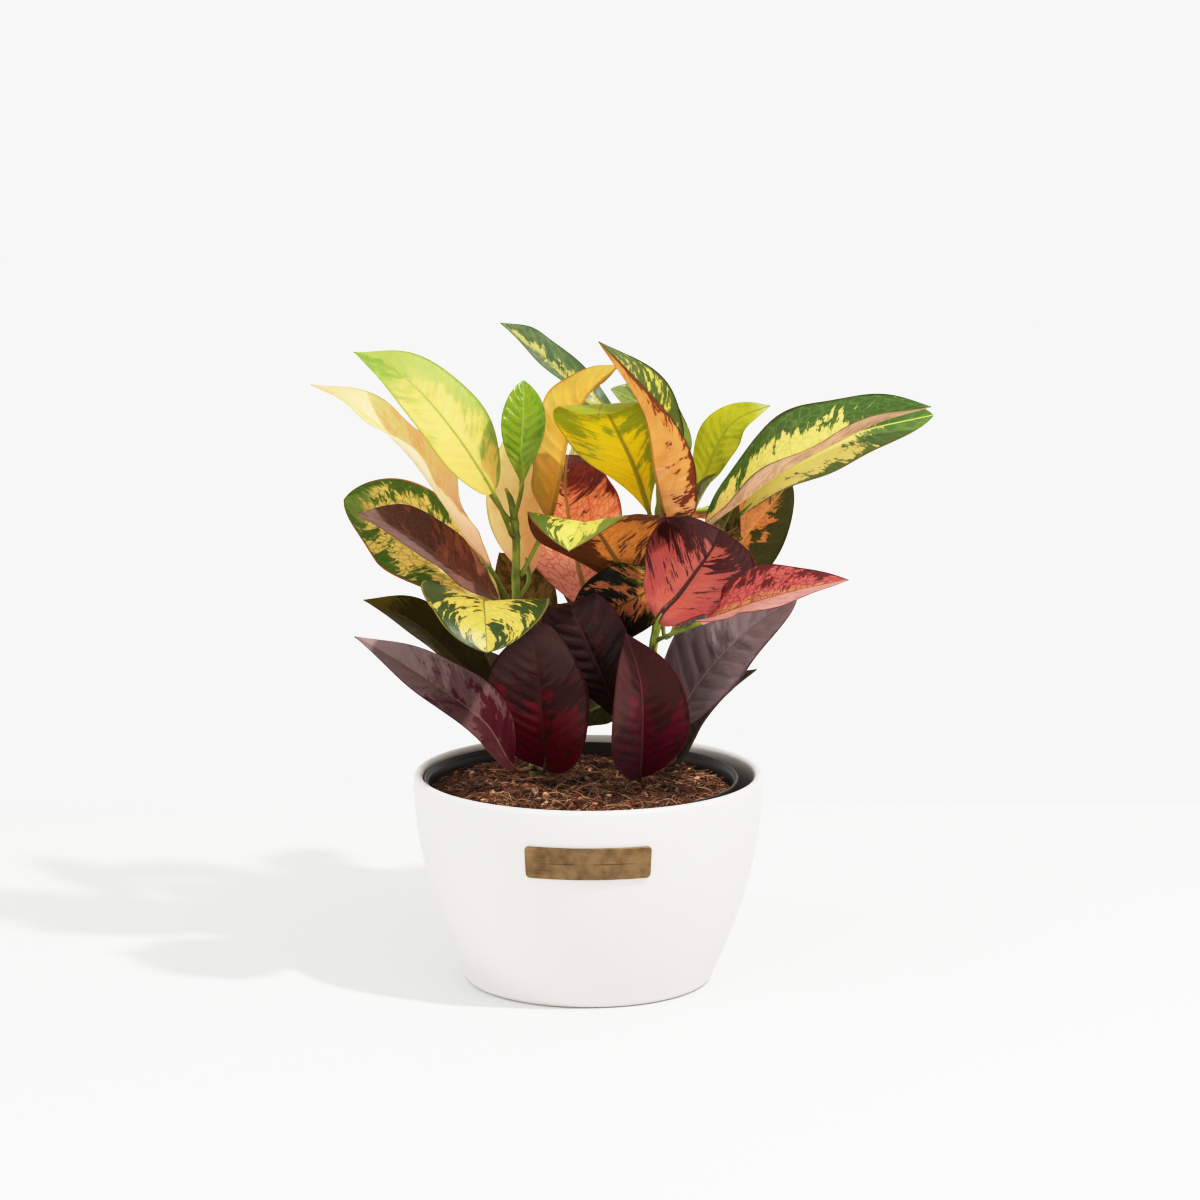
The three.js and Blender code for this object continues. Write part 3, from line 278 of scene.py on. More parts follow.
LOOKS = {
    "maroon": look("401817 451a18 301010 4a1a18 700c1a 583430 780c1c 2c0c0c 5c2a22", core=0.1, foot=0.06, tip=0.3,
        blotch=0.36, margin=-0.2, point=-1.2, soft=1.5, gloss=0.42, specular=0.15, specks=0.3, glow=0, lit=1.5),
    # The grey-pink left half of this paint is a painted highlight where the light glares on the blade; the rest is
    # the leaf's own dark red.
    "wine": look("4a1c1b 5a2420 44181a 6a2c28 700e1c 5c3a38 721228 3a1414 96564a 6c4c4c", core=0.2, foot=0.05,
        blotch=0.34, margin=-0.5, point=-1.1, soft=2, wing=-0.3, gloss=0.4, specular=0.18, specks=0.5, glow=0,
        lit=1.1),
    "night": look("2e1818 341c1a 3c1618 5a1c1e 4a1420 301c18 3c1c1a 1c0c0a 4a2622", edge=0.05, blotch=0.25,
        gloss=0.36, specular=0.15, glow=0, lit=0.9),
    # A dark crimson leaf whose grey-pink ground, tip and lighter right half are painted glare where the key light
    # shines on it; the crimson base is its own colour.
    "mauve": look("5e4748 665052 665052 6c4a46 7c1020 967e80 5a4244 4a3230 8c7068 8e787a", foot=0.1, tip=0.45,
        blotch=0.22, soft=3, wing=0.6, gloss=0.34, specular=0.4, specks=0.5, glow=0, lit=0.92),
    # The grey-pink tip and left half of this paint are painted sheen where the glossy blade catches the light; the
    # deep red base and blotches are its own colour.
    "plum": look("664646 6a4a48 5c3c3c 6c3a38 420c15 86706e 440c18 4c3230 7c564c 644848", foot=0.2, tip=0.42,
        blotch=0.3, point=-1.4, soft=2.5, wing=-0.3, gloss=0.44, specular=0.2, glow=0, lit=0.75),
    "olive_black": look("2a2206 302708 2a2004 4a3414 3a1a0c 4a3c14 241d05 241c04 5a4c1c 40371c", tip=0.2, blotch=0.25,
        soft=2, wing=-0.7, gloss=0.36, specular=0.15, glow=0, lit=0.52),
    "olive_brown": look("6c4c20 7c5a28 4c3a14 3c2410 8a5a30 5c4c1c 34300c 4c3c18 6c6428", blotch=0.4, margin=0.3,
        vein=0.5, net=0.5, specular=0.2, glow=0.2, lit=0.4),
    "olive": look("4c4a1c 666426 3c3a14 4a3a18 5a4018 4c4c18 36380f 42441a 7c7c34", blotch=0.34, specular=0.3,
        glow=0.1, lit=0.7),
    # The greyish left half of this paint is painted glare where the light catches that half; the maroon ground,
    # salmon base and veins are its own colour.
    "maroon_veined": look("502c28 5c3028 5a2e24 5a2420 b8684c 583028 8a4630 74502c 9a6c3c 80686c", core=0.14,
        foot=0.42, blotch=0.28, point=-0.9, wing=-0.6, vein=0.45, net=0.5, gloss=0.42, glow=0.1, lit=0.86),
    "broad_gold": look("f0d070 ecb870 44541c b0522c e8a860 4c6424 2f4a14 6c7a34 5f7030", core=0.3, edge=0.06,
        tip=0.12, blotch=0.27, margin=1, point=0.3, vein=0.35, net=0.8, glow=0.3, lit=0.4),
    "gold_green": look("e2b43a e8a83c 5a6a24 8a5a24 e39434 6c7c2c 4a5e1e 6c7428 c3a03c", core=0.2, edge=0.2, tip=0.1,
        blotch=0.42, margin=0.8, net=0.5, glow=0.3, lit=0.42),
    "yellow_splash": look("f4e86c f6ec76 c4cc58 b8b050 e8d468 dcd670 38561a a0a848 7c8c34", edge=0.01, blotch=0.39,
        margin=0.7, vein=0.3, net=0.3, lit=1.06),
    # The near-black ground of this paint is the leaf's dark green, darkened further by painted shade because it lies
    # in the shadow of the leaves above; the orange net is its own colour.
    "net": look("141206 1c1c08 100c04 3a2010 7c8c28 2c2a0c dc8c50 0c0a04 4c5a1c", foot=0.3, blotch=0.33, margin=-0.4,
        point=-0.3, vein=1, net=1, specular=0.15, glow=0.1, lit=1),
    "red_blotch": look("b84c44 c45c4c 3c1414 7c2c24 c06458 4a1418 3c1212 a44840 120e04", core=0.5, edge=0.03,
        tip=0.14, blotch=0.3, margin=0.45, point=1, vein=0.3, net=0.25, rib=2.2, specular=0.35, glow=0.2, lit=0.85),
    # The pale pink right half of this paint is painted glare, where that half is seen at a grazing angle in the
    # light; the coral ground and the dark net are its own colour.
    "coral_net": look("c85650 cf8050 8a2424 5c1c1c c4564a d88c88 5a1816 6a1c1a 8c4a30 e4b0a6", core=0.2, edge=0.04,
        blotch=0.33, margin=0.7, wing=0.8, vein=0.45, net=0.75, specular=0.35, glow=0.2, lit=0.98),
    "coral_top": look("e48c56 eca468 a84834 7c2c20 e8a48a 34100c 2c0e0a 7a2c1c 4a3c14", foot=0.5, tip=0.27,
        blotch=0.1, margin=0.2, point=1.5, vein=0.45, net=0.7, rib=2, glow=0.45, lit=0.26),
    "orange_green": look("dc8848 e49454 262a0e 3c2410 ecb080 2a2e10 262a0e 6c4420 b98a3a", edge=0.1, foot=0.3,
        tip=0.12, blotch=0.4, margin=0.7, lean=0.7, net=0.5, lit=0.3),
    "band": look("d8cc58 e4da68 6c7430 6c2a20 7c1f1c d8cc5a 46581e 8c9038 8c9438 8c9838", edge=0.12, blotch=0.42,
        margin=0.5, wing=-0.3, net=0.2, lit=0.5),
    "leaf_gold": look("c6ac12 ccb41a a8a018 98901c dcb824 7c8418 788018 b09014 6e6a18", tip=0.26, blotch=0.4,
        margin=0.5, point=1, lean=-0.4, soft=3, vein=0.4, net=0.15, rib=1.7, glow=0.5, lit=0.42),
    "streaked": look("c4bc48 d0c850 4a5a20 2c2410 d8a850 4a5a24 3c4e18 5a6420 8c8c3c", edge=0.1, tip=0.12,
        blotch=0.45, margin=0.3, vein=0.5, net=0.3, lit=0.5),
    "orange_gold": look("e4b24c e8b85c dcae50 c88c24 e0b078 e4b848 d8a848 b88420 a07c2c", blotch=0.25, soft=3,
        vein=0.6, net=0.1, rib=1.7, glow=0.5, lit=0.42),
    "peach_under": underside("dc8c4c e09858 b8703c 5a2814 e4a070 a06a30 6c2a1a c07c44 7c6424", edge=0.04, foot=0.3,
        tip=0.1, blotch=0.37, margin=1, point=-0.1, lean=0.3, vein=0.35, net=0.12, rib=1.4, gloss=0.45, lit=0.5),
    "amber_under": underside("cc7c34 d48840 7c4418 3c1808 cc8440 84440f 50240c 8c4c1c 54400f", edge=0.06, blotch=0.46,
        margin=0.8, lean=0.5, net=0.35, rib=1.8, gloss=0.45, glow=0.3, lit=0.42),
    "cream_fleck": look("fcf0ac fdf4b8 ece4a4 a8984c ecd08c a8ac58 7c843c c0b060 b4b070", edge=0.1, blotch=0.36,
        margin=0.2, glow=0.6, lit=0.42),
    "cream": look("fae196 fbe8a6 f6d68a d8b068 f2bc88 f0dc84 f4cc84 f4dcac c0b064", foot=0.2, blotch=0.3, soft=3,
        glow=0.6, lit=0.4),
    "cream_pink": look("fcead0 fceed6 fae8d0 b08860 f8d0b4 d8cc9c f8d8bc f6dcbc b8a868", edge=0.05, foot=0.4,
        blotch=0.34, soft=3, vein=0.35, gloss=0.5, glow=0.6, lit=0.4),
    "blush_under": underside("cc9c7c d4a484 b88868 4a3428 d49c74 b8a084 b07c60 a87c64 b8a868", edge=0.1, hem=0.05,
        blotch=0.38, soft=3, rib=1, glow=0.3, lit=0.5),
    "yellow_pink": look("fbe686 fcee98 f6d282 b0a458 f6c4a4 94946c f4be78 f4e0a0 9c9454", foot=0.4, tip=0.1,
        blotch=0.36, margin=0.2, soft=4, glow=0.6, lit=0.4),
    "bright_yellow": look("f8ea88 faf09c e8dc78 a8b840 eec468 7ca638 b0c65c ccd060 8cb040", edge=0.1, foot=0.05,
        tip=0.34, blotch=0.34, margin=0.7, point=0.7, lean=0.6, soft=6, rib=1.5, specks=0.7, glow=0.45, lit=0.72),
    "young_green": look("84a218 8cac26 5c8414 6c8c1c c8bc2c 5f8a1c 6c9410 a4bc3c a0bc48", foot=0.16, blotch=0.32,
        soft=3, vein=0.4, gloss=0.18, lit=0.75),
    "lime": look("b6b218 c0bc20 a0a810 98a018 ccc444 dce0b4 9ca410 94981a 96941e", tip=0.07, blotch=0.3, soft=3,
        vein=0.4, rib=1.5, glow=0.5, lit=0.55),
    "fresh_green": look("9cac4c a8b858 84983c 7c9038 b0b85c 7c9040 788c34 b4c46c b4c46c", blotch=0.3, soft=2,
        vein=0.4, gloss=0.24, glow=0.3, lit=1),
    "green_band": look("607838 dcd468 70824a 5c6c34 7c8c3c 5c7238 4a6430 74864a b0b060", core=0.45, blotch=0.4,
        margin=0.3, vein=0.3, gloss=0.3, glow=0.2, lit=1),
    "brown_tip": look("6c4a2c 7c5834 4c3420 3c2418 8a6440 1c2210 3c3416 4c3a20 5c602c", tip=0.3, blotch=0.36,
        point=0.8, gloss=0.3, specular=0.2, glow=0.1, lit=0.3),
    "green_gold": look("efd96c f2dc80 2c4018 3a3420 f0c478 304420 283c16 8c9440 b0b45c", edge=0.3, foot=0.16, tip=0.3,
        blotch=0.38, margin=0.9, point=0.9, net=0.6, gloss=0.34, glow=0.25, lit=0.38),
    "gold_green_tip": look("f4e27c f4e68a 4c5c28 6a4a28 eec468 2a3c1e 34481c b0b454 a8b850", edge=0.1, foot=0.1,
        tip=0.32, blotch=0.3, margin=0.6, point=0.8, gloss=0.34, lit=0.3),
    "wine_under": underside("6a2e32 743436 5c282c 4a1c20 8a2a34 5c2e32 7c2c36 8c4a4c 9a5850", blotch=0.25,
        specular=0.3, glow=0),
    # This underside's own brown is darkened further by painted shade, since it is seen in shadow; lit above 1 deepens
    # it.
    "brown_under": underside("442e1c 4c3420 3a2416 2c1a10 583824 3c2a1a 342214 5c4430 6c5438", blotch=0.3,
        specular=0.15, glow=0, lit=1.5),
    "olive_under": underside("7c8440 8a924a 6c7436 545c2a 8f9048 6c7438 687034 9ca464 a8b06c", blotch=0.3, glow=0.3,
        lit=0.7),
    "pale_under": underside("b8a0a8 c4b8b0 a89098 7c6c70 b4a890 b0a8a0 a09084 ccc4c0 c0bca0", blotch=0.25, vein=0.4,
        rib=1.5, glow=0.4),
    "gold_under": underside("e0c460 e4cc6c a8a048 8c7434 e4ac58 98984c 989448 c0ac54 c8b868", edge=0.12, tip=0.25,
        blotch=0.34, margin=0.4, glow=0.4, lit=0.5),
    "red_under": underside("963a30 a04438 6c2424 4a1818 b0503c 742a28 6c2222 b8605a a86450", edge=0.1, blotch=0.34,
        margin=0.4, glow=0.2),
    "pink_under": underside("e6a89c eab4a8 d88c86 8c4440 e8a484 ecb8b0 dc908a d08880 d89c80", blotch=0.3, lit=0.5),
    "orange_under": underside("e4a868 e8b074 9c7c3c 5c3c1c ecb890 94803c 8c7838 cc8c50 c4a060", edge=0.1, tip=0.2,
        blotch=0.38, margin=0.5, lit=0.5),
}


def linear(code):
    """A colour written like rrggbb as linear RGBA."""
    out = []
    for k in (0, 2, 4):
        c = int(code[k : k + 2], 16) / 255
        out.append(c / 12.92 if c <= 0.04045 else ((c + 0.055) / 1.055) ** 2.4)
    return (*out, 1.0)


def unit(v):
    return v / np.maximum(np.linalg.norm(v, axis=-1, keepdims=True), 1e-9)


def smooth(low, high, x):
    t = np.clip((x - low) / (high - low), 0, 1)
    return t * t * (3 - 2 * t)


def link(name, data):
    """A new object in the scene."""
    made = bpy.data.objects.new(name, data)
    bpy.context.scene.collection.objects.link(made)
    return made


# Mesh building


class Builder:
    """Collects grids of points in millimetres, with material numbers and UVs, and makes one object of them."""

    def __init__(self):
        self.points, self.faces, self.slots, self.uvs = [], [], [], []
        self.count = 0

    def grid(self, points, slot=0, uvs=None, closed=False, flip=False):
        """points is (rows, columns, 3); closed joins the last column to the first."""
        rows, columns = points.shape[:2]
        self.points.append(points.reshape(-1, 3))
        r, c = np.meshgrid(np.arange(rows - 1), np.arange(columns if closed else columns - 1), indexing="ij")
        near, far = r * columns, (r + 1) * columns
        across = (c + 1) % columns
        quads = np.stack([near + c, near + across, far + across, far + c], -1).reshape(-1, 4)
        if flip:
            quads = quads[:, ::-1]
        self.faces += (quads + self.count).tolist()
        self.slots += [slot] * len(quads)
        self.uvs.append(np.zeros((rows * columns, 4)) if uvs is None else uvs.reshape(-1, 4))
        self.count += rows * columns
        return self.count - rows * columns

    def face(self, corners, slot=0):
        self.faces.append(list(corners))
        self.slots.append(slot)

    def caps(self, first, last, sides, slot=0):
        """Close a rolled grid with a face on its first ring and one on its last."""
        self.face([first + k for k in reversed(range(sides))], slot)
        self.face([last + k for k in range(sides)], slot)

    def build(self, name, materials, node, uvs=False, smooth_faces=True):
        mesh = bpy.data.meshes.new(name)
        mesh.from_pydata((np.concatenate(self.points) * MM).tolist(), [], self.faces)
        for m in materials:
            mesh.materials.append(m)
        mesh.polygons.foreach_set("material_index", self.slots)
        mesh.polygons.foreach_set("use_smooth", [smooth_faces] * len(self.faces))
        if uvs:
            corners = np.empty(len(mesh.loops), dtype=np.int64)
            mesh.loops.foreach_get("vertex_index", corners)
            data = np.concatenate(self.uvs)[corners].astype(np.float32)
            for k, layer in enumerate(("UVMap", "Veins")):
                mesh.uv_layers.new(name=layer).data.foreach_set("uv", data[:, 2 * k : 2 * k + 2].ravel())
        mesh.validate()
        mesh.update()
        made = link(name, mesh)
        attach(made, "root")
        if node:
            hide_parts(node)


def turned_piece(name, profile, material, shift=0):
    """A round piece from (radius, height) points; a zero radius at an end closes it."""
    turn = np.arange(ROUND_STEPS) * 2 * np.pi / ROUND_STEPS
    profile = np.array(profile, float)
    points = np.zeros((len(profile), ROUND_STEPS, 3))
    points[..., :2] = profile[:, None, :1] * np.stack([np.cos(turn), np.sin(turn)], -1) + (shift, 0)
    points[..., 2] = profile[:, None, 1]
    builder = Builder()
    builder.grid(points, closed=True)
    builder.build("fine_" + name, [material], name)


def catmull(points, share):
    """The uniform Catmull-Rom curve through points, with share from 0 to 1 of its parameter."""
    points = np.asarray(points, float)
    spans = len(points) - 1
    place = np.clip(share, 0, 1) * spans
    k = np.minimum(np.floor(place).astype(int), spans - 1)
    w = (place - k)[..., None]
    ends = np.vstack([2 * points[0] - points[1], points, 2 * points[-1] - points[-2]])
    a, b, c, d = ends[k], ends[k + 1], ends[k + 2], ends[k + 3]
    return 0.5 * (2 * b + (c - a) * w + (2 * a - 5 * b + 4 * c - d) * w**2 + (3 * b - a - 3 * c + d) * w**3)


def even(points):
    """A function from a share of the curve's length to the share of its parameter, and the running lengths."""
    steps = np.linspace(0, 1, CURVE_STEPS * (len(points) - 1) + 1)
    path = catmull(points, steps)
    lengths = np.concatenate([[0], np.cumsum(np.linalg.norm(np.diff(path, axis=0), axis=1))])
    return lambda share: np.interp(np.asarray(share) * lengths[-1], lengths, steps), lengths


def tube(builder, path, radii, sides, slot=0):
    """A round rod along path with closed ends."""
    path, radii = np.asarray(path, float), np.asarray(radii, float)
    forward = unit(np.gradient(path, axis=0))
    side = np.zeros_like(path)
    last = np.cross(forward[0], (0, 1, 0.2))
    for k, f in enumerate(forward):
        last = last - f * np.dot(last, f)
        last = last / max(np.linalg.norm(last), 1e-9)
        side[k] = last
    up = np.cross(side, forward)
    turn = np.arange(sides) * 2 * np.pi / sides
    ring = side[:, None] * np.cos(turn)[None, :, None] + up[:, None] * np.sin(turn)[None, :, None]
    start = builder.grid(path[:, None] + ring * radii[:, None, None], slot, closed=True)
    builder.caps(start, start + (len(path) - 1) * sides, sides, slot)


# Shader building


def operator(kind, swapped=False):
    """A method that puts a Math node on a value and another one."""

    def apply(self, other):
        return self.nodes.math(kind, *((other, self) if swapped else (self, other)))

    return apply


class Value:
    """A shader number: plain operators on it make Math nodes."""

    def __init__(self, nodes, socket):
        self.nodes, self.socket = nodes, socket

    __add__, __radd__ = operator("ADD"), operator("ADD", True)
    __sub__, __rsub__ = operator("SUBTRACT"), operator("SUBTRACT", True)
    __mul__, __truediv__ = operator("MULTIPLY"), operator("DIVIDE")

    def __abs__(self):
        return self.nodes.math("ABSOLUTE", self)


class Nodes:
    """Short names for the node calls that the materials share."""

    def __init__(self, tree, material=None):
        self.tree, self.material = tree, material

    def add(self, kind, **inputs):
        """A new node with its properties and sockets set; _ stands for a blank in a socket's name."""
        node = self.tree.nodes.new(kind)
        for key, value in inputs.items():
            if hasattr(node, key):
                setattr(node, key, value)
            else:
                self.plug(node.inputs[key.replace("_", " ")], value)
        return node

    def plug(self, socket, value):
        """Link a socket to a value, or set it to a number, a tuple or a colour written like rrggbb."""
        value = value.socket if isinstance(value, Value) else value
        if isinstance(value, bpy.types.NodeSocket):
            self.tree.links.new(value, socket)
        else:
            socket.default_value = linear(value) if isinstance(value, str) else value

    def fill(self, node, *values):
        """Plug values into a node's first sockets, in order."""
        for socket, value in zip(node.inputs, values):
            self.plug(socket, value)
        return node

    def math(self, operation, a, b=0.0, clamp=False):
        node = self.fill(self.add("ShaderNodeMath", operation=operation, use_clamp=clamp), a, b)
        return Value(self, node.outputs[0])

    def mix(self, share, a, b):
        node = self.add("ShaderNodeMix", data_type="RGBA")
        for k, value in ((0, share), (6, a), (7, b)):
            self.plug(node.inputs[k], value)
        return node.outputs[2]

    def step(self, value, low, high):
        """0 below low and 1 above high, smoothly."""
        node = self.fill(self.add("ShaderNodeMapRange", interpolation_type="SMOOTHSTEP"), value, low, high)
        return Value(self, node.outputs["Result"])

    def vector(self, x, y, z):
        return self.fill(self.add("ShaderNodeCombineXYZ"), x, y, z).outputs[0]

    def split(self, vector):
        return [Value(self, part) for part in self.add("ShaderNodeSeparateXYZ", Vector=vector).outputs]

    def uv(self, layer):
        return self.split(self.add("ShaderNodeUVMap", uv_map=layer).outputs[0])[:2]

    def noise(self, vector, scale, detail, roughness):
        node = self.add("ShaderNodeTexNoise", Vector=vector, Scale=scale, Detail=detail, Roughness=roughness)
        return Value(self, node.outputs[0])

    def grain(self, scale, detail, roughness=0.6, stretch=None):
        """Noise in the object's own coordinates, with each axis scaled by stretch."""
        place = self.add("ShaderNodeTexCoord").outputs["Object"]
        if stretch:
            place = self.add("ShaderNodeMapping", Vector=place, Scale=stretch).outputs[0]
        return self.noise(place, scale, detail, roughness)

    def bump(self, strength, distance, height):
        return self.add("ShaderNodeBump", Strength=strength, Distance=distance, Height=height).outputs[0]

    def principled(self, colour, roughness, **levels):
        return self.add("ShaderNodeBsdfPrincipled", Base_Color=colour, Roughness=roughness, **levels).outputs[0]

    def show(self, shader):
        """End the material in a shader and return it."""
        self.add("ShaderNodeOutputMaterial", Surface=shader)
        return self.material


def new_material(name):
    made = bpy.data.materials.new(name)
    made.use_nodes = True
    made.node_tree.nodes.clear()
    return Nodes(made.node_tree, made)


def leaf_paint_group():
    """The mottled paint of a leaf, from its place across and along the blade and its side veins."""
    tree = bpy.data.node_groups.new("leaf_paint", "ShaderNodeTree")

    def sockets(way, kind, keys):
        for key in keys:
            tree.interface.new_socket(key, in_out=way, socket_type="NodeSocket" + kind)

    sockets("INPUT", "Float", NUMBER_INPUTS)
    sockets("INPUT", "Color", COLOUR_INPUTS)
    sockets("OUTPUT", "Color", ["colour"])
    sockets("OUTPUT", "Float", ["height", "fine"])
    n = Nodes(tree)
    given = [Value(n, socket) for socket in n.add("NodeGroupInput").outputs]
    level, paint = dict(zip(NUMBER_INPUTS, given)), dict(zip(COLOUR_INPUTS, given[len(NUMBER_INPUTS) :]))
    across, along = n.uv("UVMap")
    vein, offset = n.uv("Veins")
    hand = across * 2.0 - 1.0
    out = abs(hand)
    right = n.math("GREATER_THAN", hand, 0.0)

    def mottle(wide, long, half, detail, roughness=0.6):
        """Noise whose spots follow the side veins."""
        return n.noise(n.vector(out * wide, vein * long, half), 1.0, detail, roughness)

    def ragged(reach):
        return reach * (1.0 + jag)

    def zone(depth, low, high):
        """How far a ragged zone covers the point: depth is how deep the point lies in it."""
        return n.step(depth / level["soft"], low, high)

    streak = mottle(1.5, 1.6, right, 3.0)
    grain, speck = mottle(5.0, 5.5, right, 4.0), mottle(20.0, 8.0, right, 4.0)
    jag = (streak - 0.5) * 1.8 + (grain - 0.5) * 0.9
    beat = abs(n.math("SINE", vein * math.pi))
    side_vein = 1.0 - n.step(beat, 0.02, 0.22)
    cells = n.vector(out * 7.0 + streak, vein * 1.7, right)
    cracks = n.add("ShaderNodeTexVoronoi", feature="DISTANCE_TO_EDGE", Vector=cells, Scale=1.0).outputs["Distance"]
    net = 1.0 - n.step(cracks, 0.01, 0.1)
    mark = n.math("MAXIMUM", side_vein * level["vein"], net * level["net"])
    core = zone(ragged(level["core"] * (1.15 - along * 0.6)) - out, -0.06, 0.06)
    foot = zone(ragged(level["foot"]) - along, -0.06, 0.08)
    edge = zone(out + ragged(level["edge"]) - 1.0, -0.015, 0.03)
    tip = zone(along + ragged(level["tip"]) - 1.0, -0.04, 0.04)

    # Ragged blotches, pulled out along the side veins
    blot = mottle(1.9, 0.6, right + 9.0, 4.0) * 0.88 + (mottle(3.2, 3.0, right + 4.0, 4.0, 0.65) - 0.33) * 0.58
    pull = level["margin"] * (out - 0.5) * 0.35 + level["point"] * (along - 0.5) * 0.35
    pull = pull + level["lean"] * hand * 0.3
    blotch = zone(blot + pull + jag * 0.13 - (0.78 - level["blotch"] * 0.6), -0.015, 0.02)

    # One half in another tone (the leaf's own on some paints, a painted sheen on others), the midrib, the last line
    # of the margin and dots
    wing = n.step(hand * n.math("SIGN", level["wing"]), -0.04, 0.1) * abs(level["wing"])
    wing = n.math("MULTIPLY", wing, 0.65 + streak * 0.7, clamp=True)
    width = level["rib"] * (0.095 - along * 0.06)
    rib = 1.0 - n.step(abs(offset), width * 0.6, width)
    hem = n.step(out + level["hem"] - 1.0, -0.012, 0.008) * 0.8
    dots = n.step(mottle(26.0, 11.0, right, 2.0), 0.68, 0.72) * level["specks"]

    colour = paint["field"]
    for share, key in (
        (core, "core"), (foot, "foot"), (mark, "vein"), (edge, "edge"), (tip, "tip"), (blotch, "blotch"),
        (wing, "wing"), (mark * 0.25, "vein"), (rib * 0.85, "rib"), (hem, "hem"), (dots, "hem"),
    ):
        colour = n.mix(share, colour, paint[key])
    tone = (streak + grain) * 0.22 + speck * 0.1 + 0.73
    colour = n.add("ShaderNodeHueSaturation", Value=tone, Color=colour).outputs[0]
    height = beat * 0.5 - net * 0.12 + (grain + speck) * 0.14 - rib * 0.6
    n.fill(n.add("NodeGroupOutput"), colour, height, grain)
    return tree


LEAF_PAINT = leaf_paint_group()


def leaf_colour(code, lit):
    """The paint that shows as the colour rrggbb on film where the light on the leaf is lit."""
    tones, shown = zip((0, 0), *FILM)
    wanted = np.array(linear(code)[:3])
    brightest = np.interp(MOST_PAINT * lit, tones, shown)
    wanted = wanted * min(1, brightest / wanted.max())
    return (*(np.interp(wanted, shown, tones) / lit).tolist(), 1.0)


def leaf_material(name):
    """A waxy leaf that lets some light through."""
    codes, level = LOOKS[name]
    n = new_material("leaf_" + name)
    paint = n.add("ShaderNodeGroup", node_tree=LEAF_PAINT)
    n.fill(paint, *(level[key] for key in NUMBER_INPUTS), *(leaf_colour(code, level["lit"]) for code in codes))
    colour, height, fine = paint.outputs
    bump = n.bump(0.35, 0.0006, height)
    rough = level["gloss"] - 0.06 + Value(n, fine) * 0.14
    shader = n.principled(colour, rough, Normal=bump, Specular_IOR_Level=level["specular"])
    if level["glow"]:
        # Light crosses the two sheets of the leaf, and each takes its share of the colour
        sheet = n.add("ShaderNodeGamma", Color=colour, Gamma=0.5).outputs[0]
        through = n.add("ShaderNodeBsdfTranslucent", Color=sheet, Normal=bump).outputs[0]
        shader = n.fill(n.add("ShaderNodeMixShader"), level["glow"], shader, through).outputs[0]
    return n.show(shader)


def stem_material(name, young, old):
    """Green bark with fine upright streaks."""
    n = new_material(name)
    streak = n.grain(900.0, 4.0, stretch=(1.0, 1.0, 0.2))
    patch = n.grain(90.0, 3.0)
    colour = n.mix(n.step(patch, 0.35, 0.7), young, old)
    colour = n.mix(n.step(streak, 0.5, 0.75) * 0.5, colour, old)
    return n.show(n.principled(colour, 0.45, Normal=n.bump(0.4, 0.0004, streak)))


# Leaves


def stem_axis(stem, height):
    """The point on a stem's axis at a height, and the radius there."""
    path, radius = np.array(STEMS[stem][0], float), STEMS[stem][1]
    k = 1
    while k + 1 < len(path) and path[k][2] < height:
        k += 1
    share = (height - path[k - 1][2]) / (path[k][2] - path[k - 1][2])
    return path[k - 1] + (path[k] - path[k - 1]) * share, radius[k - 1] + (radius[k] - radius[k - 1]) * share


def outline(row, along):
    """Share of the full half width along the blade."""
    turned = np.clip(along, 0, 1) ** (math.log(0.5) / math.log(row["peak"]))
    power = row["blunt"][0] * (1 - turned) + row["blunt"][1] * turned
    return np.maximum(np.sin(np.pi * turned), 0) ** power


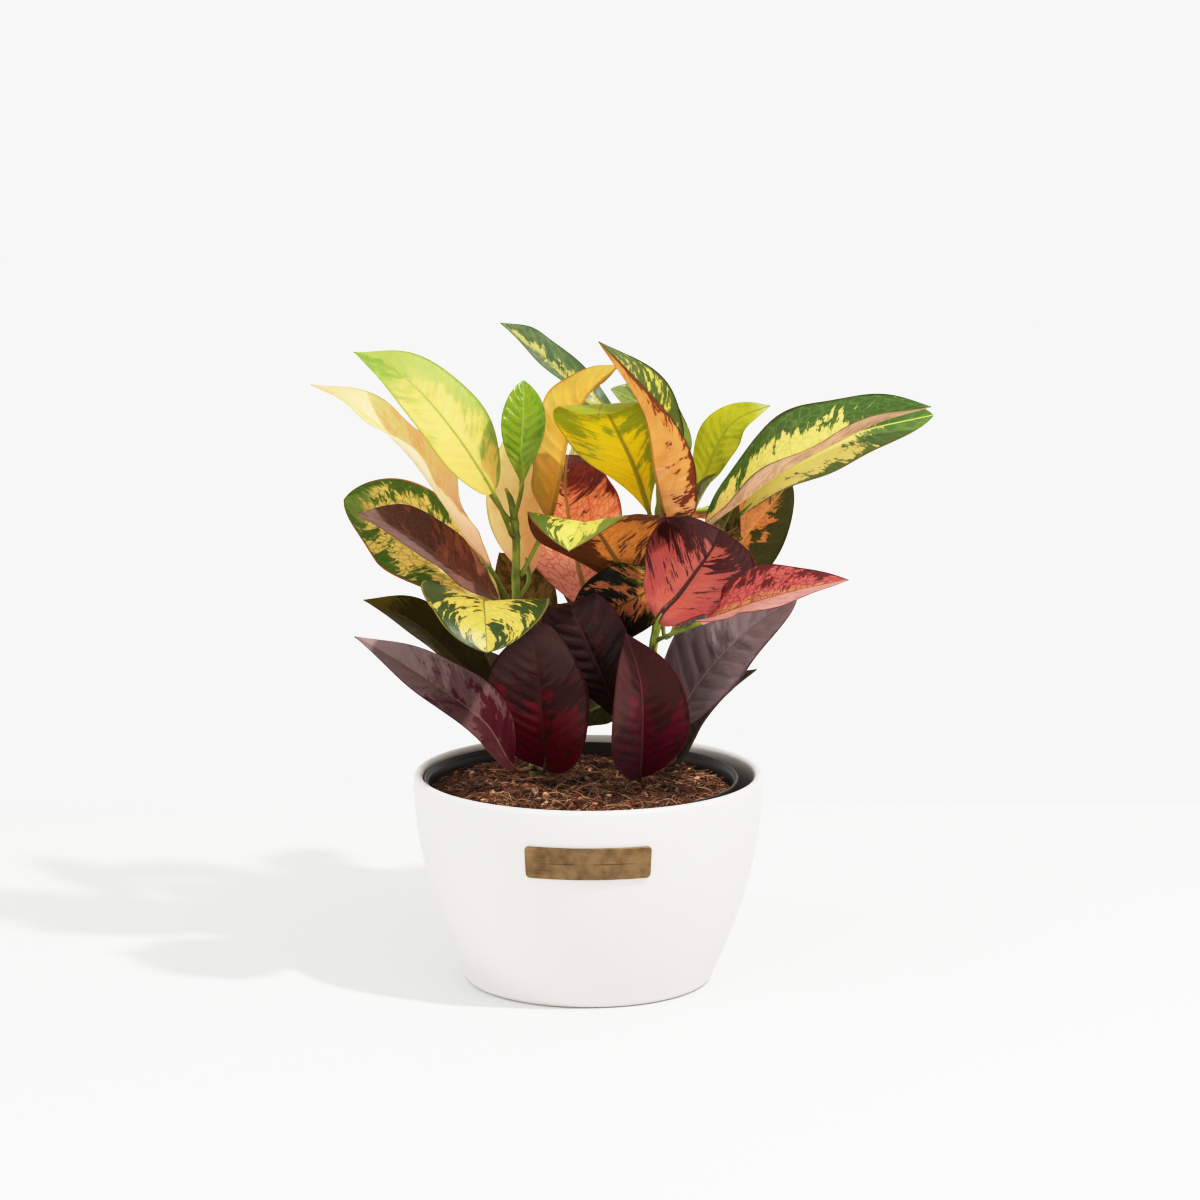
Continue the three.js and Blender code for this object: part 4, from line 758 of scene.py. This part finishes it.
def make_leaf(index, name, row):
    axis, radius = stem_axis(row["stem"], row["root"])
    outward = (np.array(row["spine"][0], float) - axis) * (1, 1, 0)
    outward /= np.linalg.norm(outward)
    start = axis + outward * (radius + GAP + 0.2)
    points = np.vstack([start, np.array(row["spine"], float)])
    parameter, lengths = even(points)
    petiole = lengths[CURVE_STEPS] / lengths[-1]

    # Rows are closer together at the tip and the base
    turn = np.linspace(0, 1, ROWS_ALONG + 1)
    along = 0.6 * turn + 0.4 * (1 - np.cos(np.pi * turn)) / 2
    share = petiole + (1 - petiole) * along
    centre = catmull(points, parameter(share))
    step = 1e-4
    forward = unit(catmull(points, parameter(share) + step) - catmull(points, parameter(share) - step))
    faces = np.array(row["face"], float)
    up = faces[0] + (faces[1] - faces[0]) * along[:, None]
    up = unit(up - forward * np.sum(up * forward, 1, keepdims=True))
    side = np.cross(forward, up)

    least = np.where(along < 0.5, PETIOLE_RADIUS, TIP_HALF_WIDTH)
    half = np.maximum(row["width"] / 2 * outline(row, along), least)
    hand = np.linspace(-1, 1, 2 * COLUMNS_A_SIDE + 1)
    across = (np.sign(hand) * np.abs(hand) ** 1.35)[None, :]
    out = np.abs(across)
    fold = np.radians(np.where(across > 0, row["fold"][1], row["fold"][0]))
    height, count, begin = row["wave"]
    phase = 2 * np.pi * (count * along[:, None] + begin + np.where(across > 0, 0.35, 0))
    ripple = height * np.sin(phase) * out**2 * np.sin(np.pi * along)[:, None]
    width = across * half[:, None]

    # The blade swells between its side veins
    reach = row["width"] / 2 / (lengths[-1] * (1 - petiole))
    vein = row["veins"] * (along[:, None] - 0.7 * reach * out**1.25) + np.where(across > 0, 0.5, 0)
    vein = vein + VEIN_START + VEIN_STEP * index
    envelope = smooth(0, 0.16, out) * (1 - smooth(0.82, 1, out)) * (half / (row["width"] / 2))[:, None]
    swell = row["quilt"] * (np.abs(np.sin(np.pi * vein)) - 0.5) * 2 * envelope
    groove = -GROOVE_DEPTH * np.exp(-(width**2)) * (1 - along[:, None])

    x = width * np.cos(fold)
    z = out * half[:, None] * np.sin(fold) + ripple + swell + groove
    middle = centre[:, None] + side[:, None] * x[..., None] + up[:, None] * z[..., None]
    normal = unit(np.cross(np.gradient(middle, axis=0), np.gradient(middle, axis=1)))
    normal *= np.sign(np.sum(normal * up[:, None], -1, keepdims=True) + 1e-9)
    thick = LEAF_THICKNESS / 2 * (1 - 0.55 * out**4) * np.ones_like(x)
    rib = (0.95 - 0.75 * along)[:, None] * np.exp(-((width / RIB_HALF_WIDTH) ** 2))
    uv = np.zeros(middle.shape[:2] + (4,))
    for k, layer in enumerate(((across + 1) / 2, along[:, None], vein, width / 10)):
        uv[..., k] = layer

    builder = Builder()
    rows, columns = x.shape
    a = builder.grid(middle + normal * thick[..., None], 0, uv, flip=True)
    b = builder.grid(middle - normal * (thick + rib)[..., None], 1, uv)
    for left in range(0, (rows - 1) * columns, columns):
        right = left + columns - 1
        builder.face([a + left, a + left + columns, b + left + columns, b + left])
        builder.face([a + right, b + right, b + right + columns, a + right + columns])
    end = (rows - 1) * columns
    for c in range(columns - 1):
        builder.face([a + c, b + c, b + c + 1, a + c + 1])
        builder.face([a + end + c, a + end + c + 1, b + end + c + 1, b + end + c])

    # The petiole swells at the stem and runs in under the blade
    run = np.linspace(0, petiole + (1 - petiole) * 0.1, PETIOLE_STEPS + 1)
    path = catmull(points, parameter(run))
    path[0] = start - outward * 0.5
    sunk = smooth(petiole, run[-1], run)
    path = path - unit(faces[0])[None, :] * (PETIOLE_SINK * sunk)[:, None]
    radii = PETIOLE_RADIUS * (1 + 0.35 * (1 - smooth(0, 0.12, run / run[-1])) - 0.5 * sunk)
    tube(builder, path, radii, PETIOLE_SIDES, 2)
    petiole_paint = PETIOLES["green" if LOOKS[row["over"]][1]["glow"] else "dark"]
    paints = [LEAF_PAINTS[row["over"]], LEAF_PAINTS[row["under"]], petiole_paint]
    node = "leaf_" + name
    builder.build("fine_" + node, paints, node, uvs=True)


LEAF_PAINTS = {name: leaf_material(name) for name in LOOKS}
PETIOLES = {
    "green": stem_material("petiole_green", "8d9a3c", "6f7a2c"),
    "dark": stem_material("petiole_dark", "6c4a2c", "4a2c20"),
}
for index, (name, row) in enumerate(LEAVES.items()):
    make_leaf(index, name, row)


# Stems with a ring scar below each leaf


def make_stem(name, path, radius):
    path = np.array(path, float)
    share = np.linspace(0, 1, STEM_STEPS + 1)
    at = even(path)[0](share)
    line = catmull(path, at)
    width = np.interp(at * (len(path) - 1), np.arange(len(path)), radius)
    for row in LEAVES.values():
        if row["stem"] == name:
            width = width + SCAR_HEIGHT * np.exp(-(((line[:, 2] - row["root"] + 1.5) / SCAR_LENGTH) ** 2))
    width = width + 0.08 * np.sin(share * 170)
    builder = Builder()
    tube(builder, line, width, STEM_SIDES)
    builder.build("fine_stem_" + name, [STEM_PAINT], "stem_" + name)


STEM_PAINT = stem_material("stem_bark", "94a03c", "6a7428")
for name, (path, radius) in STEMS.items():
    make_stem(name, path, radius)


# The bowl


def wall_radius(height):
    below = 1 - np.minimum(height / (POT_HEIGHT - RIM_STRAIGHT), 1)
    return RIM_RADIUS - (RIM_RADIUS - FOOT_RADIUS) * below**WALL_POWER


def pot_profile():
    """From under the foot up the wall, over the lip and down to the floor inside."""
    foot, lip = wall_radius(FOOT_FILLET), WALL / 2
    profile = [(0, FOOT_RECESS), (foot - FOOT_RING, FOOT_RECESS), (foot - FOOT_RING + 1, 0)]
    for turn in np.radians(np.linspace(0, 75, 7)):
        profile.append((foot - FOOT_FILLET * (1 - math.sin(turn)), FOOT_FILLET * (1 - math.cos(turn))))
    profile += [(wall_radius(h), h) for h in np.linspace(FOOT_FILLET + 1, POT_HEIGHT - lip - 1, 40)]
    for turn in np.radians(np.linspace(0, 180, 13)):
        profile.append((RIM_RADIUS - lip + lip * math.cos(turn), POT_HEIGHT - lip + lip * math.sin(turn)))
    profile += [(wall_radius(h) - WALL, h) for h in np.linspace(POT_HEIGHT - lip - 2, 14, 24)]
    return profile + [(wall_radius(FLOOR) - WALL - 5, FLOOR), (0, FLOOR)]


def glaze():
    """Matt white glaze with a faint unevenness and tiny pits."""
    n = new_material("pot_glaze")
    broad, fine = n.grain(14.0, 2.0), n.grain(900.0, 3.0)
    tone = n.mix(broad, "cfcecb", "d6d5d2")
    tone = n.mix(n.step(fine, 0.66, 0.8) * 0.25, tone, "c2bfb9")
    return n.show(n.principled(tone, 0.42 + fine * 0.12, Normal=n.bump(0.12, 0.0004, broad * 0.5 + fine * 0.25)))


turned_piece("pot", pot_profile(), glaze())


# The nursery liner, with its double lip


def satin_black():
    n = new_material("liner_plastic")
    fine, dust = n.grain(1400.0, 3.0), n.grain(60.0, 4.0)
    tone = n.mix(n.step(dust, 0.5, 0.8), "1c1209", "33241a")
    return n.show(n.principled(tone, 0.3 + dust * 0.2, Normal=n.bump(0.15, 0.0002, fine)))


def liner_profile():
    """From under the floor up the wall, over the lip and down inside; each lip point is given in and down."""
    base = FLOOR + GAP
    lip = (
        (1.4, 5), (0.3, 4.8), (0, 4.5), (0, 0.5), (0.3, 0.1), (0.8, 0), (1.2, 0.4), (1.3, 1.6), (1.9, 2),
        (2.4, 2.6), (2.5, 5.4),
    )
    profile = [(0, base), (LINER_BASE_RADIUS - 2, base), (LINER_BASE_RADIUS - 0.6, base + 0.6)]
    profile += [(LINER_BASE_RADIUS, base + 2)]
    profile += [(LINER_TOP_RADIUS - inset, base + LINER_HEIGHT - down) for inset, down in lip]
    profile += [(LINER_BASE_RADIUS - LINER_WALL, base + 2.4), (LINER_BASE_RADIUS - 2.4, base + LINER_FLOOR)]
    return profile + [(0, base + LINER_FLOOR)]


turned_piece("liner", liner_profile(), satin_black(), LINER_SHIFT)


# The bare plate, bent to the bowl's wall


def brushed_brass():
    """Brass darkened by age and brushed lengthwise."""
    n = new_material("plaque_brass")
    brush = n.grain(2600.0, 4.0, stretch=(0.03, 0.03, 1.0))
    stain = n.grain(120.0, 4.0)
    tone = n.mix(n.step(stain, 0.35, 0.7), "7c6850", "4e3c2c")
    tone = n.mix(brush * 0.45, tone, "a0845c")
    return n.show(n.principled(tone, 0.34 + brush * 0.2, Metallic=0.85, Normal=n.bump(0.3, 0.0002, brush)))


def plaque_ring(inset, lift):
    """One rounded rectangle, inset from the plate's outline and lifted from the wall."""
    corner = max(PLAQUE_CORNER - inset, 0.2)
    reach_x, reach_z = PLAQUE_LENGTH / 2 - inset - corner, PLAQUE_HEIGHT / 2 - inset - corner
    ring = []
    for quarter, (sx, sz) in enumerate(((1, 1), (-1, 1), (-1, -1), (1, -1))):
        for turn in np.radians(np.linspace(90 * quarter, 90 * quarter + 90, 7)):
            ring.append((sx * reach_x + corner * math.cos(turn), sz * reach_z + corner * math.sin(turn)))
        if quarter in (0, 2):
            x, z = ring[-1]
            ring += [(x - sx * 2 * reach_x * k / PLAQUE_SPLITS, z) for k in range(1, PLAQUE_SPLITS)]
    place = []
    for x, z in ring:
        height = PLAQUE_CENTRE_HEIGHT + z
        reach = float(wall_radius(height)) + GAP + lift
        angle = x / float(wall_radius(PLAQUE_CENTRE_HEIGHT))
        place.append((reach * math.sin(angle), -reach * math.cos(angle), height))
    return place


def make_plaque():
    """A rounded rectangle with eased edges."""
    full = PLAQUE_THICKNESS
    steps = ((0, 0), (0, 0.7), (0.12, 0.95), (0.4, full), (3, full), (7.6, full))
    rings = np.array([plaque_ring(*step) for step in steps])
    builder = Builder()
    start = builder.grid(rings, closed=True)
    count = rings.shape[1]
    builder.caps(start, start + (len(rings) - 1) * count, count)
    builder.build("fine_plaque", [brushed_brass()], "plaque")


make_plaque()


# Soil: a mound of coir with loose fibres and bark chips


def soil_height(x, y, share):
    mound = SOIL_MOUND * (1 - share**2)
    broad = np.sin(x * 0.21 + 1.3) * np.cos(y * 0.27 - 0.4)
    slanted = 0.6 * np.sin(x * 0.13 - y * 0.19 + 2.1)
    return SOIL_EDGE_HEIGHT + mound + SOIL_RELIEF * (broad + slanted) * (1 - share**4)


def coir(name, dark, light, scale):
    n = new_material(name)
    broad, fine = n.grain(scale, 4.0, 0.7), n.grain(scale * 9, 4.0, 0.7)
    tone = n.mix(n.step(broad, 0.3, 0.7), dark, light)
    tone = n.mix(n.step(fine, 0.4, 0.7) * 0.5, tone, dark)
    return n.show(n.principled(tone, 0.85, Normal=n.bump(0.8, 0.0008, fine)))


DARK = coir("coir_dark", "180c06", "44291a", 200.0)
BROWN = coir("coir_brown", "7c5036", "b07c56", 300.0)
TAN = coir("coir_tan", "c89c78", "f0d0ac", 300.0)
RED = coir("coir_red", "4c2816", "7c4830", 300.0)


def make_soil(random):
    share = np.linspace(1, 0, SOIL_RINGS + 1)[:-1, None] ** 0.8
    turn = np.arange(SOIL_STEPS) * 2 * np.pi / SOIL_STEPS
    x, y = SOIL_RADIUS * share * np.cos(turn), SOIL_RADIUS * share * np.sin(turn)
    rough = random.normal(0, 0.5, x.shape)
    rough = (rough + np.roll(rough, 1, 1) + np.roll(rough, -1, 1)) / 1.7
    lumps = 1.1 * np.sin(x * 0.9 + 2 * np.sin(y * 0.31)) * np.sin(y * 1.1 + 2 * np.cos(x * 0.27))
    top = np.stack([x + LINER_SHIFT, y, soil_height(x, y, share) - 0.6 + (rough + lumps) * (1 - share**12)], -1)
    base = FLOOR + GAP + LINER_FLOOR + GAP
    slope = (LINER_TOP_RADIUS - 1.4 - LINER_BASE_RADIUS) / (LINER_HEIGHT - 7)
    below = []
    for height in (base, base + 4, SOIL_EDGE_HEIGHT - 2):
        reach = LINER_BASE_RADIUS + slope * (height - FLOOR - GAP - 2) - LINER_WALL - 2 * GAP
        reach = min(reach, SOIL_RADIUS) - (5 if height == base else 0)
        ring = [reach * np.cos(turn) + LINER_SHIFT, reach * np.sin(turn), np.full(SOIL_STEPS, height)]
        below.append(np.stack(ring, -1))
    builder = Builder()
    start = builder.grid(np.concatenate([np.array(below), top]), closed=True)
    builder.caps(start, start + (SOIL_RINGS + 2) * SOIL_STEPS, SOIL_STEPS)
    builder.build("fine_soil", [DARK], "soil")


def on_soil(random, spread):
    """A random place on the mound, and its share of the mound's radius."""
    reach = spread * math.sqrt(random.random())
    turn = random.random() * 2 * math.pi
    return SOIL_RADIUS * reach * math.cos(turn), SOIL_RADIUS * reach * math.sin(turn), reach


def make_fibres(seed, name, count, paint, thick):
    """Loose coir hairs, each a bent three-sided rod lying on the mound."""
    random = np.random.default_rng(seed)
    builder = Builder()
    swelling = np.array([0.4, 0.9, 1, 1, 1, 0.8, 0.3])
    steps = len(swelling)
    for _ in range(count):
        x, y, _ = on_soil(random, FIBRE_REACH)
        length = random.uniform(6, 20)
        turn = random.uniform(0, 2 * math.pi)
        bend = random.normal(0, 0.06)
        points = []
        lift = random.uniform(-0.4, 1.5)
        arch = random.uniform(0, 1.8)
        for k in range(steps):
            share = math.hypot(x, y) / SOIL_RADIUS
            if share > FIBRE_REACH:
                x, y = x * FIBRE_REACH / share, y * FIBRE_REACH / share
                share = FIBRE_REACH
            ground = float(soil_height(x, y, share))
            points.append((x + LINER_SHIFT, y, ground + lift + arch * math.sin(math.pi * k / (steps - 1))))
            turn += bend + random.normal(0, 0.12)
            x += length / steps * math.cos(turn)
            y += length / steps * math.sin(turn)
        tube(builder, points, thick * random.uniform(0.6, 1.3) * swelling, 3)
    builder.build(name, [paint], None)


def make_chips(seed, name, count, paint):
    """Flat bark chips and coir lumps, half sunk in the mound."""
    random = np.random.default_rng(seed)
    builder = Builder()
    for _ in range(count):
        x, y, reach = on_soil(random, CHIP_REACH)
        ground = float(soil_height(x, y, reach))
        size = random.uniform(1.0, 3.4)
        axes, _ = np.linalg.qr(random.normal(size=(3, 3)) + np.diag((0, 0, 2.0)))
        place = np.zeros((CHIP_RINGS, CHIP_STEPS, 3))
        for r in range(CHIP_RINGS):
            tilt = math.pi * (r + 0.5) / CHIP_RINGS
            for s in range(CHIP_STEPS):
                turn = 2 * math.pi * s / CHIP_STEPS
                wide = size * math.sin(tilt) * random.uniform(0.75, 1.1)
                place[r, s] = (wide * math.cos(turn), 0.6 * wide * math.sin(turn), 0.35 * size * math.cos(tilt))
        start = builder.grid(place @ axes.T + (x + LINER_SHIFT, y, ground + 0.2), closed=True, flip=True)
        builder.caps(start + (CHIP_RINGS - 1) * CHIP_STEPS, start, CHIP_STEPS)
    builder.build(name, [paint], None, smooth_faces=False)


make_soil(np.random.default_rng(11))
make_fibres(21, "coir_fibres_brown", 1500, BROWN, 0.2)
make_fibres(22, "coir_fibres_tan", 800, TAN, 0.15)
make_fibres(23, "coir_fibres_red", 900, RED, 0.22)
make_chips(31, "bark_chips_brown", 260, BROWN)
make_chips(32, "bark_chips_red", 260, RED)
make_chips(33, "bark_chips_tan", 90, TAN)


# Stage, light and camera


FLOOR_REACH = 4
FLOOR_BACK = 0.366
n = new_material("floor_paint")
mesh = bpy.data.meshes.new("floor")
corners = ((-1, -FLOOR_REACH), (1, -FLOOR_REACH), (1, FLOOR_BACK), (-1, FLOOR_BACK))
mesh.from_pydata([(side * FLOOR_REACH, y, 0) for side, y in corners], [], [(0, 1, 2, 3)])
mesh.materials.append(n.show(n.principled("e4e4e3", 0.7)))
floor = link("floor", mesh)

for name, size, power, place, colour in (
    ("key", 0.07, 12, (0.68, -0.53, 1.25), (1.0, 0.98, 0.95)),
    ("fill", 1.2, 8, (-1.5, -0.9, 0.55), (1.0, 0.99, 0.98)),
):
    light = bpy.data.lights.new(name, "AREA")
    light.size, light.energy, light.color = size, power, colour
    lamp = link(name, light)
    lamp.location = place
    lamp.rotation_euler = ((cad_low + cad_high) / 2 - lamp.location).to_track_quat("-Z", "Y").to_euler()

# A pale studio all round, brighter behind the plant than in front of it
WALL_LIGHT = 0.84
FRONT_LIGHT = 0.7
world = bpy.data.worlds.new("studio")
world.use_nodes = True
n = Nodes(world.node_tree)
towards_wall = n.split(n.add("ShaderNodeTexCoord").outputs["Generated"])[1]
strength = FRONT_LIGHT + n.step(towards_wall, -0.9, 0.9) * (WALL_LIGHT - FRONT_LIGHT)
n.fill(world.node_tree.nodes["Background"], (1.0, 0.995, 0.985, 1), strength)
bpy.context.scene.world = world

view = bpy.context.scene.view_settings
view.view_transform = "Standard"
view.use_curve_mapping = True
curve = view.curve_mapping.curves[3]
for tone, shown in FILM[:-1]:
    curve.points.new(tone, shown)
curve.points[len(curve.points) - 1].location = FILM[-1]
view.curve_mapping.update()

lens = bpy.data.cameras.new("camera")
lens.lens = 135
lens.sensor_width = 36
camera = link("camera", lens)
camera.location = (0.0056, -2.134, 0.5925)
camera.rotation_euler = (math.radians(79.25), 0, 0)
bpy.context.scene.camera = camera
